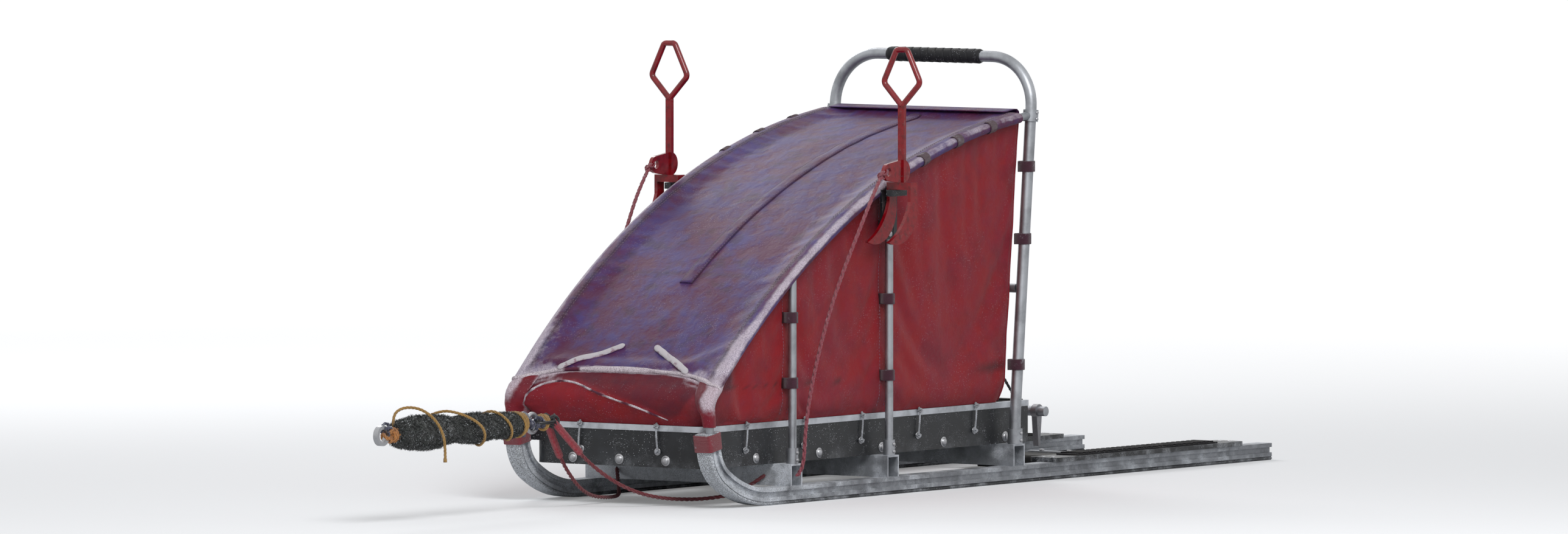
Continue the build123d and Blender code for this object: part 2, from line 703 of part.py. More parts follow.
brake_pivot = at(BRAKE_PIVOT_STATION, 0, BRAKE_PIVOT_HEIGHT)
brake_arm = rearward_up(BRAKE_REST_ANGLE)
brake_bar = brake_pivot + brake_arm * BRAKE_REACH
with BuildPart() as claw_brake:
    for sign in SIDES.values():
        inner = brake_pivot + Vector(0, sign * BRAKE_PIVOT_SIDE - BRAKE_ARM_WIDTH / 2, 0)
        with BuildSketch(Plane(origin=inner, x_dir=brake_arm, z_dir=(0, 1, 0))):
            Circle(BRAKE_ARM_DEPTH / 2)
            with Locations((BRAKE_REACH / 2, 0)):
                Rectangle(BRAKE_REACH, BRAKE_ARM_DEPTH)
            Circle(pivot_hole, mode=Mode.SUBTRACT)
        extrude(amount=BRAKE_ARM_WIDTH)
    bar_start = brake_bar - Vector(0, BRAKE_BAR_HALF, 0)
    add(bar_along(Plane(origin=bar_start, z_dir=(0, 1, 0)), BRAKE_BAR_RADIUS, 2 * BRAKE_BAR_HALF))
save(claw_brake.part, "claw_brake")

with BuildPart() as brake_claws:
    for sign in SIDES.values():
        collar = brake_bar + Vector(0, sign * CLAW_SIDE - CLAW_WIDTH / 2, 0)
        with BuildSketch(Plane(origin=collar, x_dir=(1, 0, 0), z_dir=(0, 1, 0))):
            Circle(BRAKE_BAR_RADIUS + COLLAR_WALL)
            with BuildLine():
                Polyline(
                    (-BRAKE_BAR_RADIUS, 0),
                    (BRAKE_BAR_RADIUS, 0),
                    (CLAW_TIP, CLAW_LENGTH),
                    (-CLAW_TIP, CLAW_LENGTH),
                    close=True,
                )
            make_face()
            Circle(BRAKE_BAR_RADIUS + SEAT, mode=Mode.SUBTRACT)
        extrude(amount=CLAW_WIDTH)
save(brake_claws.part, "brake_claws")

pedal_normal = Vector(-brake_arm.Z, 0, brake_arm.X)
pedal_plane = Plane(
    origin=brake_bar + pedal_normal * (BRAKE_BAR_RADIUS + SEAT), x_dir=brake_arm, z_dir=pedal_normal
)
with BuildPart() as brake_pedal:
    with BuildSketch(pedal_plane):
        RectangleRounded(PEDAL_LENGTH, PEDAL_WIDTH, PAD_RIB)
    extrude(amount=PEDAL_THICKNESS)
    with BuildSketch(pedal_plane.offset(PEDAL_THICKNESS)):
        with GridLocations(PAD_PITCH / 2, 0, int(2 * PEDAL_LENGTH / PAD_PITCH) - 1, 1):
            Rectangle(PAD_RIB, PEDAL_WIDTH - 2 * PAD_RIB)
    extrude(amount=PAD_RIB)
save(brake_pedal.part, "brake_pedal")

# Drag mat: a bar between the runners, and a lugged rubber mat that swings on it
bar_half = RUNNER_SIDE - RUNNER_WIDTH / 2 - SEAT
mat_bar_start = at(MAT_BAR_STATION, -bar_half, MAT_BAR_HEIGHT)
with BuildPart() as mat_bar:
    add(bar_along(Plane(origin=mat_bar_start, z_dir=(0, 1, 0)), MAT_BAR_RADIUS, 2 * bar_half))
    for sign in SIDES.values():
        flange = at(MAT_BAR_STATION, sign * bar_half, MAT_BAR_HEIGHT)
        add(bar_along(Plane(origin=flange, z_dir=(0, -sign, 0)), MAT_FLANGE_RADIUS, MAT_FLANGE_THICKNESS))
save(mat_bar.part, "mat_bar")

with BuildPart() as drag_mat:
    sleeve_start = at(MAT_BAR_STATION, -MAT_HALF_WIDTH, MAT_BAR_HEIGHT)
    sleeve_plane = Plane(origin=sleeve_start, z_dir=(0, 1, 0))
    sleeve_bore = MAT_BAR_RADIUS + PIN_PLAY
    add(bar_along(sleeve_plane, sleeve_bore + MAT_SLEEVE_WALL, 2 * MAT_HALF_WIDTH))
    mat_start = MAT_BAR_STATION - MIDDLE
    with BuildSketch(Plane.XY.offset(MAT_UNDERSIDE)):
        with Locations((mat_start + MAT_LENGTH / 2, 0)):
            Rectangle(MAT_LENGTH, 2 * MAT_HALF_WIDTH)
    extrude(amount=MAT_THICKNESS)
    lug_pitch = (MAT_LENGTH - MAT_STRIP) / LUG_ROWS
    with BuildSketch(Plane.XY.offset(MAT_UNDERSIDE)):
        with Locations((mat_start + MAT_STRIP + lug_pitch * LUG_ROWS / 2, 0)):
            with GridLocations(lug_pitch, LUG_PITCH_ACROSS, LUG_ROWS, 3):
                Rectangle(LUG_LENGTH, LUG_WIDTH)
    extrude(amount=-LUG_HEIGHT, taper=LUG_TAPER)
    add(bar_along(sleeve_plane, sleeve_bore, 2 * MAT_HALF_WIDTH), mode=Mode.SUBTRACT)
save(drag_mat.part, "drag_mat")

with BuildPart() as mat_strips:
    with BuildSketch(Plane.XY.offset(MAT_UNDERSIDE + MAT_THICKNESS + SEAT)):
        for strip in (MAT_STRIP, MAT_LENGTH - MAT_STRIP / 2):
            with Locations((mat_start + strip, 0)):
                Rectangle(MAT_STRIP / 2, 2 * MAT_HALF_WIDTH)
    extrude(amount=PAD_THICKNESS)
save(mat_strips.part, "mat_strips")


# Snow hooks: handle, shank, eye plate and two claws, hung by the yoke, one on each side
def hook_at(hand, ahead, aside, height):
    """A point of the hook on one hand, from its reach ahead of and to the right of the shank."""
    return at(HOOK_STATION - ahead, hand * HOOK_SIDE + aside, height)


yoke_height = rail_height(HOOK_STATION) - HOOK_YOKE_DROP
shank_top = yoke_height + HOOK_SHANK


def eye_plate(hand, play=0.0):
    """The plate with the hook's eye, or, where it has play, the space about it without the eye."""
    middle = hook_at(hand, 0, HOOK_CLAW_THICKNESS / 2 + play, yoke_height + EYE_RISE)
    eye_place = (EYE_PLATE_TIP - EYE_REACH, 0)
    with BuildPart() as plate:
        with BuildSketch(Plane(origin=middle, x_dir=(1, 0, 0), z_dir=(0, -1, 0))):
            Circle(EYE_PLATE_HEEL + play)
            with Locations(eye_place):
                Circle(EYE_PLATE_TIP + play)
            make_hull()
            if play == 0:
                with Locations(eye_place):
                    Circle(EYE_RADIUS, mode=Mode.SUBTRACT)
        extrude(amount=HOOK_CLAW_THICKNESS + 2 * play)
    return plate.part


yoke_top = yoke_height + HOOK_BAR
claw_half = HOOK_CLAW_WIDTH / 2
claw_low = yoke_height - HOOK_CLAW_DROP
for name, hand in SIDES.items():
    with BuildPart() as snow_hook:
        add(
            block(
                hook_at(hand, HOOK_BAR_THICKNESS / 2, -HOOK_BAR / 2, yoke_height),
                hook_at(hand, -HOOK_BAR_THICKNESS / 2, HOOK_BAR / 2, shank_top),
            )
        )
        for sign in SIDES.values():
            handle = [
                hook_at(hand, 0, 0, shank_top - HANDLE_ROD),
                hook_at(hand, 0, sign * HANDLE_HALF_WIDTH, shank_top + HANDLE_CORNER_RISE),
                hook_at(hand, 0, sign * HANDLE_CROWN, shank_top + HANDLE_RISE),
                hook_at(hand, 0, 0, shank_top + HANDLE_RISE),
            ]
            add(rod(handle, [2 * HANDLE_ROD, 1.5 * HANDLE_ROD], HANDLE_ROD))
            middle = hook_at(hand, 0, sign * CLAW_SPREAD + HOOK_CLAW_THICKNESS / 2, 0)
            claw_plane = Plane(origin=middle, x_dir=(1, 0, 0), z_dir=(0, -1, 0))
            with BuildSketch(claw_plane):
                with BuildLine():
                    Polyline(
                        (-claw_half, yoke_height - HOOK_CLAW_WIDTH),
                        (-claw_half, yoke_top),
                        (claw_half, yoke_top),
                        (claw_half, yoke_height - HOOK_CLAW_WIDTH),
                    )
                    ThreePointArc(
                        (claw_half, yoke_height - HOOK_CLAW_WIDTH),
                        (-claw_half, claw_low + HOOK_CLAW_WIDTH / 2),
                        (-CLAW_FORWARD, claw_low),
                    )
                    ThreePointArc(
                        (-CLAW_FORWARD, claw_low),
                        (-2 * HOOK_CLAW_WIDTH, claw_low + HOOK_CLAW_WIDTH),
                        (-claw_half, yoke_height - HOOK_CLAW_WIDTH),
                    )
                make_face()
            extrude(amount=HOOK_CLAW_THICKNESS)
        spread = CLAW_SPREAD + HOOK_CLAW_THICKNESS / 2
        yoke_low = hook_at(hand, claw_half, -spread, yoke_height)
        add(block(yoke_low, hook_at(hand, -claw_half, spread, yoke_top)))
        add(eye_plate(hand))
    save(snow_hook.part, f"snow_hook_{name}")

# Holsters: a bracket on each middle strut with a shelf, slotted for the inner claw, under the yoke
holster_inner = RAIL_SIDE + STRUT_RADIUS + SEAT
shelf_top = yoke_height - SEAT
shelf_front = HOOK_STATION - SHELF_HALF
shelf_rear = HOOK_STATION + SHELF_HALF
slot_play = HOOK_CLAW_THICKNESS / 2 + SHELF_SLOT_PLAY
slot_side = HOOK_SIDE - CLAW_SPREAD
slot_rear = HOOK_STATION + claw_half + SHELF_SLOT_PLAY


def on_side(hand, low, high):
    """A block from (station, distance outward, height) corners, on one hand of the sled."""
    inner, outer = sorted((hand * low[1], hand * high[1]))
    return block(at(low[0], inner, low[2]), at(high[0], outer, high[2]))


with BuildPart() as hook_holsters:
    for hand in SIDES.values():
        plate_low = (shelf_front, holster_inner, shelf_top - HOLSTER_DROP)
        plate_high = (shelf_rear, holster_inner + HOLSTER_PLATE, shelf_top)
        add(on_side(hand, plate_low, plate_high))
        shelf_low = (shelf_front, holster_inner, shelf_top - SHELF_THICKNESS)
        add(on_side(hand, shelf_low, (shelf_rear, HOOK_SIDE - SHELF_SHORT, shelf_top)))
        slot_low = (shelf_front - SEAT, slot_side - slot_play, 0)
        slot_high = (slot_rear, slot_side + slot_play, reach)
        add(on_side(hand, slot_low, slot_high), mode=Mode.SUBTRACT)
save(hook_holsters.part, "hook_holsters")

# Tow rig ahead of the nose
tow_axis = Axis(origin=at(0, 0, TOW_HEIGHT), direction=(1, 0, 0))
with BuildPart() as tow_ring:
    with Locations(Location(at(RING_STATION, 0, TOW_HEIGHT), (90, 0, 0))):
        Torus(RING_RADIUS, RING_ROD)
save(tow_ring.part, "tow_ring")

link_front = RING_STATION + RING_RADIUS - RING_ROD - SEAT - LINK_ROD
link_middle = (link_front + SHACKLE_REAR) / 2


def link(radius):
    """The shackle's closed loop of round rod."""
    with BuildPart() as made:
        with BuildLine() as loop:
            corners = []
            for along, across in ((link_front, 1), (SHACKLE_REAR, 1), (SHACKLE_REAR, -1), (link_front, -1)):
                corners.append(at(along, across * LINK_HALF_WIDTH, TOW_HEIGHT))
            FilletPolyline(*corners, radius=LINK_HALF_WIDTH - SEAT, close=True)
        with BuildSketch(Plane(origin=loop.line @ 0, z_dir=loop.line % 0)):
            Circle(radius)
        sweep(path=loop.line)
    return made.part


save(link(LINK_ROD), "shackle")

eye_centre = at(EYE_INNER_RADIUS + EYE_WALL - TOW_REACH, 0, TOW_HEIGHT)
with BuildPart() as tow_eye:
    add(
        bar_along(
            Plane(origin=eye_centre - Vector(0, EYE_THICKNESS / 2, 0), z_dir=(0, 1, 0)),
            EYE_INNER_RADIUS + EYE_WALL,
            EYE_THICKNESS,
            EYE_INNER_RADIUS,
        )
    )
save(tow_eye.part, "tow_eye")

front_end = 2 * (EYE_INNER_RADIUS + EYE_WALL) + FRONT_STUB - TOW_REACH
rear_end = RING_STATION - RING_RADIUS - RING_ROD - REAR_STUB
eye_rear = eye_centre + Vector(EYE_INNER_RADIUS + EYE_WALL + SEAT, 0, 0)
ring_front = at(RING_STATION - RING_RADIUS - RING_ROD - SEAT, 0, TOW_HEIGHT)
with BuildPart() as tow_rope_ends:
    add(rod([eye_rear, at(front_end - SEAT, 0, TOW_HEIGHT)], [], TOW_ROPE_RADIUS))
    add(rod([at(rear_end + SEAT, 0, TOW_HEIGHT), ring_front], [], TOW_ROPE_RADIUS))
save(tow_rope_ends.part, "tow_rope_ends")

absorber_length = rear_end - front_end
with BuildPart() as shock_absorber:
    with BuildSketch(Plane.XZ):
        with BuildLine():
            Polyline(
                flat(at(rear_end, 0, TOW_HEIGHT + ABSORBER_NECK)),
                flat(at(rear_end, 0, TOW_HEIGHT)),
                flat(at(front_end, 0, TOW_HEIGHT)),
                flat(at(front_end, 0, TOW_HEIGHT + ABSORBER_NECK)),
            )
            for share_from, share_to, lobe_radius in ABSORBER_LOBES:
                first = at(front_end + share_from * absorber_length, 0, TOW_HEIGHT + ABSORBER_NECK)
                last = at(front_end + share_to * absorber_length, 0, TOW_HEIGHT + ABSORBER_NECK)
                crown = Vector((first.X + last.X) / 2, 0, TOW_HEIGHT + lobe_radius)
                ThreePointArc(flat(first), flat(crown), flat(last))
        make_face()
    revolve(axis=tow_axis)
save(shock_absorber.part, "shock_absorber")


# Bridle legs and hook lines: limp ropes held at both ends
def route(table, hand=1.0):
    """Points of a rope's route from rows of station, side and height."""
    return [at(station, hand * side, height) for station, side, height in table]


# Rows: station, distance to the right, height; the hook lines' rows count outward on each side
beam_front = BEAM_STATIONS[0] - BEAM_DEPTH / 2
LEG_ROUTES = {
    "left": (
        (-207.6, -9, 195), (-152, -18, 146), (-100, -24, 101), (-36, -56, 52), (32, -82, 25),
        (108, -104, 13), (190, -136, 11), (258, -176, 22), (312, -209, 65),
    ),
    "right": (
        (-207.6, 9, 195), (-158, 22, 138), (-110, 30, 88), (-44, 42, 42), (28, 58, 18),
        (104, 66, 11), (178, 92, 11), (246, 140, 20), (312, 193, 65),
    ),
}
HOOK_ROUTE = (
    (609, 312, 715), (564, 313, 660), (520, 310, 590), (470, 304, 508), (424, 299, 420),
    (384, 297, 330), (352, 296, 240), (332, 297, 160), (328, 297, 104), (330, 288, 70),
    (330, 275.3, 60),
)

for name, table in LEG_ROUTES.items():
    leg_points = route(table)
    leg_bends = route_bends(leg_points)
    with BuildPart() as leg:
        add(rod(leg_points, leg_bends, LEG_ROPE_RADIUS))
        add(link(LINK_ROD + SEAT), mode=Mode.SUBTRACT)
        add(block(at(beam_front - SEAT, -reach, 0), at(reach, reach, reach)), mode=Mode.SUBTRACT)
    leg_length = leg.part.volume / (pi * LEG_ROPE_RADIUS**2)
    print("leg", name, "bends", [round(bend) for bend in leg_bends], "length", round(leg_length))
    save(leg.part, f"bridle_leg_{name}")

with BuildPart() as leg_sleeves:
    for table in LEG_ROUTES.values():
        leg_points = route(table)
        leg_bends = route_bends(leg_points)
        sleeve_end = (leg_points[2] + leg_points[1]) * 0.5
        sleeve_points = [leg_points[0], leg_points[1], sleeve_end]
        add(rod(sleeve_points, leg_bends[:1], LEG_SLEEVE_RADIUS, LEG_ROPE_RADIUS + SEAT))
    add(link(LINK_ROD + SEAT), mode=Mode.SUBTRACT)
save(leg_sleeves.part, "leg_sleeves")

for name, hand in SIDES.items():
    hook_points = route(HOOK_ROUTE, hand)
    hook_bends = route_bends(hook_points)
    with BuildPart() as hook_line:
        add(rod(hook_points, hook_bends, HOOK_LINE_RADIUS))
        add(eye_plate(hand, SEAT), mode=Mode.SUBTRACT)
    hook_line_length = hook_line.part.volume / (pi * HOOK_LINE_RADIUS**2)
    print("hook line bends", [round(bend) for bend in hook_bends], "length", round(hook_line_length))
    save(hook_line.part, f"hook_line_{name}")
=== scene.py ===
"""Looks of a toboggan-type dog sled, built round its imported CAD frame.

Metres. The nose points to -X, the sled's right is +Y, +Z is up and the floor is z = 0.
Places along the sled are stations in millimetres behind the runner tips, as in the CAD source.
"""

import logging
import math
import random
from dataclasses import dataclass, field
from enum import Enum
from typing import Callable, Optional, Sequence, Union

import bpy
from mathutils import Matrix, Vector, noise


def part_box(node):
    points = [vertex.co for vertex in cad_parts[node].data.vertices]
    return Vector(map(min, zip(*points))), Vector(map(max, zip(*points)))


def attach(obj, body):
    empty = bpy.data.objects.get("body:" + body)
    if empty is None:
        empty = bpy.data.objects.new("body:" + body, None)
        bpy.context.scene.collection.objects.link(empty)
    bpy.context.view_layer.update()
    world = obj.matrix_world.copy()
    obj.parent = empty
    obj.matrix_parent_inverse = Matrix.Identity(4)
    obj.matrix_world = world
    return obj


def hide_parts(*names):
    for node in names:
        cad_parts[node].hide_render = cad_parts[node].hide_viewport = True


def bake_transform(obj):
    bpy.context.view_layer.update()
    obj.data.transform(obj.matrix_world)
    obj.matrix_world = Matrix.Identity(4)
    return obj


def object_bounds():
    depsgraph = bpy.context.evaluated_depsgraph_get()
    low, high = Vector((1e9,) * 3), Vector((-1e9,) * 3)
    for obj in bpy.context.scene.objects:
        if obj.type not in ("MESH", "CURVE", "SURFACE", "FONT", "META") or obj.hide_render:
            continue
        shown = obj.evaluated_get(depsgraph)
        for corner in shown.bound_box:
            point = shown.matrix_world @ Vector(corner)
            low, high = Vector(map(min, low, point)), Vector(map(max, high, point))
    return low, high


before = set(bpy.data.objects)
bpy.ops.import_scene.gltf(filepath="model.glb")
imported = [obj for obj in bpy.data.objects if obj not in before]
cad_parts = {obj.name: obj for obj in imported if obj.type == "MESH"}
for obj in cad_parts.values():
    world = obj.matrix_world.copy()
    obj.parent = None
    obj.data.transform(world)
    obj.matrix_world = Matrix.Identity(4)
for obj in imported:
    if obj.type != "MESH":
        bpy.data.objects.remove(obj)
CAD_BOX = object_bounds()

log = logging.getLogger("dog_sled")

BODY = "sled"
MAT_BODY = "drag_mat"
MIDDLE_STATION = 675.0

Colour = tuple[float, float, float, float]
Row = tuple[float, float, float]
Rule = Union[float, Callable[[Vector], float]]


def at(station: float, side: float, height: float) -> Vector:
    """A point from its station, its distance to the right and its height.

    Args:
        station: millimetres behind the runner tips.
        side: millimetres to the right of the middle plane.
        height: millimetres above the floor.

    Returns:
        The point in metres, in the model's frame.
    """
    return Vector(((station - MIDDLE_STATION) / 1000, side / 1000, height / 1000))


def tint(code: int) -> Colour:
    """A linear colour from a hexadecimal display colour.

    Args:
        code: the colour as 0xRRGGBB.

    Returns:
        The linear colour with full alpha.
    """
    parts = [((code >> shift) & 255) / 255 for shift in (16, 8, 0)]
    linear = [part / 12.92 if part <= 0.04045 else ((part + 0.055) / 1.055) ** 2.4 for part in parts]
    return (linear[0], linear[1], linear[2], 1.0)


def ease(low: float, high: float, value: float) -> float:
    """A smooth step from 0 at low to 1 at high.

    Args:
        low: value where the step starts.
        high: value where it ends.
        value: the value to place on the step.

    Returns:
        A number from 0 to 1.
    """
    share = min(max((value - low) / (high - low), 0.0), 1.0)
    return share * share * (3 - 2 * share)


class Side(Enum):
    """The two sides of the sled."""

    RIGHT = 1
    LEFT = -1


class Lay(Enum):
    """How a rope's strands run."""

    TWISTED = "twisted"
    PLAITED = "plaited"


class Value:
    """One shader socket that stands in Python expressions as a number does."""

    def __init__(self, wiring: "Wiring", socket: bpy.types.NodeSocket) -> None:
        """Keep the socket and the wiring that it belongs to."""
        self.wiring = wiring
        self.socket = socket

    def _maths(self, operation: str, first: "Operand", second: "Operand") -> "Value":
        """Add one Math node.

        Args:
            operation: the node's operation.
            first: its first operand.
            second: its second operand.

        Returns:
            The node's result.
        """
        return self.wiring.node("ShaderNodeMath", {"operation": operation}, {0: first, 1: second})

    def __add__(self, other: "Operand") -> "Value":
        """Sum."""
        return self._maths("ADD", self, other)

    def __radd__(self, other: "Operand") -> "Value":
        """Sum, from the right."""
        return self._maths("ADD", other, self)

    def __sub__(self, other: "Operand") -> "Value":
        """Difference."""
        return self._maths("SUBTRACT", self, other)

    def __rsub__(self, other: "Operand") -> "Value":
        """Difference, from the right."""
        return self._maths("SUBTRACT", other, self)

    def __mul__(self, other: "Operand") -> "Value":
        """Product."""
        return self._maths("MULTIPLY", self, other)

    def __rmul__(self, other: "Operand") -> "Value":
        """Product, from the right."""
        return self._maths("MULTIPLY", other, self)

    def peak(self, other: "Operand") -> "Value":
        """The larger of two values."""
        return self._maths("MAXIMUM", self, other)

    def step(self, low: float, high: float) -> "Value":
        """A smooth step from 0 at low to 1 at high.

        Args:
            low: value where the step starts.
            high: value where it ends.

        Returns:
            A value from 0 to 1.
        """
        return self.wiring.node(
            "ShaderNodeMapRange",
            {"interpolation_type": "SMOOTHSTEP"},
            {"Value": self, "From Min": low, "From Max": high},
        )


Operand = Union[Value, float, int, tuple]


class Wiring:
    """The nodes of one material or of the world, wired from Python."""

    def __init__(self, material: Union[bpy.types.Material, bpy.types.World]) -> None:
        """Clear the tree.

        Args:
            material: the material or world whose nodes are wired.
        """
        material.use_nodes = True
        self.tree = material.node_tree
        self.tree.nodes.clear()
        self.place = self.node("ShaderNodeTexCoord", {}, {}, "Object")

    def node(self, kind: str, settings: dict, inputs: dict, output: Union[int, str] = 0) -> Value:
        """Add a node, set it and wire it.

        Args:
            kind: the node's type.
            settings: the node's own properties.
            inputs: values or links of its sockets, by name or number.
            output: which of its outputs is wanted.

        Returns:
            The wanted output.
        """
        made = self.tree.nodes.new(kind)
        for name, setting in settings.items():
            setattr(made, name, setting)
        for key, value in inputs.items():
            socket = made.inputs[key]
            if isinstance(value, Value):
                self.tree.links.new(value.socket, socket)
            else:
                socket.default_value = value
        return Value(self, made.outputs[output])

    def stretched(self, scale: tuple[float, float, float]) -> Value:
        """The object's coordinates, scaled apart along each axis."""
        return self.node("ShaderNodeMapping", {}, {"Vector": self.place, "Scale": scale})

    def clouds(self, scale: float, detail: float = 3.0, place: Optional[Value] = None) -> Value:
        """Soft noise.

        Args:
            scale: size of the noise, in cells a metre.
            detail: how many finer layers it has.
            place: coordinates, where they aren't the object's own.

        Returns:
            A value about 0.5.
        """
        inputs = {"Vector": place or self.place, "Scale": scale, "Detail": detail, "Roughness": 0.6}
        return self.node("ShaderNodeTexNoise", {}, inputs, 0)

    def specks(self, scale: float, size: float) -> Value:
        """Small round specks.

        Args:
            scale: specks a metre.
            size: radius of a speck, as a share of its cell.

        Returns:
            1 in a speck and 0 outside it.
        """
        inputs = {"Vector": self.place, "Scale": scale, "Randomness": 1.0}
        distance = self.node("ShaderNodeTexVoronoi", {"feature": "F1"}, inputs, "Distance")
        return 1 - distance.step(size * 0.6, size)

    def ribs(self, scale: float, axis: str, wobble: float = 0.0) -> Value:
        """Even waves along an axis.

        Args:
            scale: waves in each 0.314 metres, the texture's own measure.
            axis: X, Y, Z or DIAGONAL.
            wobble: how uneven they are.

        Returns:
            A value from 0 to 1.
        """
        inputs = {"Vector": self.place, "Scale": scale, "Distortion": wobble, "Detail": 1.0}
        return self.node("ShaderNodeTexWave", {"bands_direction": axis}, inputs, "Fac")

    def mark(self, name: str) -> Value:
        """A number that the mesh carries at its points."""
        return self.node("ShaderNodeAttribute", {"attribute_name": name}, {}, "Fac")

    def facing_up(self) -> Value:
        """How far a surface faces up, from -1 to 1."""
        normal = self.node("ShaderNodeNewGeometry", {}, {}, "Normal")
        return self.node("ShaderNodeSeparateXYZ", {}, {0: normal}, "Z")

    def height(self) -> Value:
        """Height above the floor."""
        return self.node("ShaderNodeSeparateXYZ", {}, {0: self.place}, "Z")

    def length_along(self) -> Value:
        """Place along the sled, from its middle to the rear."""
        return self.node("ShaderNodeSeparateXYZ", {}, {0: self.place}, "X")

    def blend(self, first: Operand, second: Operand, share: Operand) -> Value:
        """Two colours mixed.

        Args:
            first: colour where share is 0.
            second: colour where share is 1.
            share: how much of the second shows.

        Returns:
            The mixed colour.
        """
        settings = {"data_type": "RGBA", "blend_type": "MIX"}
        return self.node("ShaderNodeMix", settings, {0: share, 6: first, 7: second}, 2)

    def relief(self, height: Value, depth: float, below: Optional[Value] = None) -> Value:
        """A bump.

        Args:
            height: the relief, from 0 to 1.
            depth: its depth in metres.
            below: the normal that it lies on.

        Returns:
            The normal.
        """
        inputs: dict = {"Height": height, "Distance": depth, "Strength": 1.0}
        if below is not None:
            inputs["Normal"] = below
        return self.node("ShaderNodeBump", {}, inputs)

    def finish(self, varied: dict, plain: dict) -> None:
        """Close the material with its shader.

        Args:
            varied: sockets that change over the surface.
            plain: sockets that are plain numbers.
        """
        shader = self.node("ShaderNodeBsdfPrincipled", {}, {**varied, **plain})
        self.node_out(shader)

    def node_out(self, shader: Value, kind: str = "ShaderNodeOutputMaterial") -> None:
        """Wire a shader to the tree's output."""
        out = self.tree.nodes.new(kind)
        self.tree.links.new(shader.socket, out.inputs["Surface"])


RIME = tint(0xE4E9F0)


@dataclass(frozen=True)
class Finish:
    """A finish with a name, a main colour and a roughness."""

    name: str
    colour: Colour
    roughness: float = 0.5

    def material(self) -> bpy.types.Material:
        """The finish's material, made once.

        Returns:
            The material.
        """
        known = bpy.data.materials.get(self.name)
        if known is not None:
            return known
        made = bpy.data.materials.new(self.name)
        self.paint(Wiring(made))
        return made

    def paint(self, wiring: Wiring) -> None:
        """Wire the finish's nodes."""
        raise NotImplementedError


@dataclass(frozen=True)
class RimedMetal(Finish):
    """Bare alloy tube or bar with drawing lines, dull patches and frost that thins upward."""

    rime_top: float = 0.35
    rime: float = 0.6
    nose_rime: float = 0.0
    draw_axis: tuple[float, float, float] = (6.0, 90.0, 90.0)

    def paint(self, wiring: Wiring) -> None:
        """Wire the finish's nodes.

        Args:
            wiring: the node tree of the finish's material.
        """
        lines = wiring.clouds(14.0, 2.0, wiring.stretched(self.draw_axis))
        dull = wiring.clouds(23.0, 4.0)
        low = 1 - wiring.height().step(self.rime_top * 0.35, self.rime_top)
        nose = (1 - wiring.length_along().step(-0.52, -0.1)) * self.nose_rime
        cover = wiring.clouds(19.0, 7.0) + 0.1 * wiring.facing_up() + 0.22 * nose
        crust = cover.step(0.62 - 0.2 * self.rime, 0.9 - 0.1 * self.rime)
        powder = 0.3 + 0.7 * wiring.clouds(430.0, 4.0).step(0.3, 0.62)
        patches = crust * (0.22 + 0.78 * low.peak(nose)) * powder * self.rime
        grains = wiring.specks(520.0, 0.26) * (0.3 + 0.7 * low) * wiring.clouds(60.0).step(0.4, 0.62)
        rime = patches.peak(grains * 0.7 * self.rime)
        dark = tuple(0.62 * part for part in self.colour[:3]) + (1.0,)
        metal = wiring.blend(self.colour, dark, dull.step(0.35, 0.75))
        colour = wiring.blend(metal, RIME, rime)
        roughness = self.roughness + 0.16 * dull + 0.1 * lines + 0.35 * rime
        normal = wiring.relief(lines * 0.5 + 0.5 * dull, 0.00025)
        normal = wiring.relief(rime, 0.0012, normal)
        varied = {"Base Color": colour, "Roughness": roughness, "Metallic": 0.92 - 0.9 * rime}
        wiring.finish({**varied, "Normal": normal}, {"Specular IOR Level": 0.5})


@dataclass(frozen=True)
class Steel(Finish):
    """Ground steel with fine scratches and a little rust in its pits."""

    rust: float = 0.25

    def paint(self, wiring: Wiring) -> None:
        """Wire the finish's nodes.

        Args:
            wiring: the node tree of the finish's material.
        """
        scratches = wiring.clouds(40.0, 3.0, wiring.stretched((9.0, 60.0, 9.0)))
        pits = wiring.clouds(160.0, 4.0).step(0.56, 0.74) * self.rust
        colour = wiring.blend(self.colour, tint(0x5A4236), pits)
        roughness = self.roughness + 0.2 * scratches + 0.4 * pits
        normal = wiring.relief(scratches - pits, 0.0002)
        varied = {"Base Color": colour, "Roughness": roughness, "Metallic": 1 - 0.8 * pits}
        wiring.finish({**varied, "Normal": normal}, {"Specular IOR Level": 0.5})


@dataclass(frozen=True)
class Paint(Finish):
    """Thick glossy paint on steel, chipped along a few spots."""

    chips: float = 0.5

    def paint(self, wiring: Wiring) -> None:
        """Wire the finish's nodes.

        Args:
            wiring: the node tree of the finish's material.
        """
        ripple = wiring.clouds(70.0, 2.0)
        bare = (wiring.clouds(55.0, 6.0) + 0.25 * wiring.clouds(230.0, 2.0)).step(0.76, 0.79) * self.chips
        shade = tuple(0.45 * part for part in self.colour[:3]) + (1.0,)
        coat = wiring.blend(self.colour, shade, ripple.step(0.4, 0.8))
        colour = wiring.blend(coat, tint(0x6E6A68), bare)
        roughness = self.roughness + 0.08 * ripple + 0.35 * bare
        normal = wiring.relief(ripple * 0.6 - bare * 0.4, 0.0006)
        varied = {"Base Color": colour, "Roughness": roughness, "Metallic": 0.8 * bare, "Normal": normal}
        wiring.finish(varied, {"Specular IOR Level": 0.6})


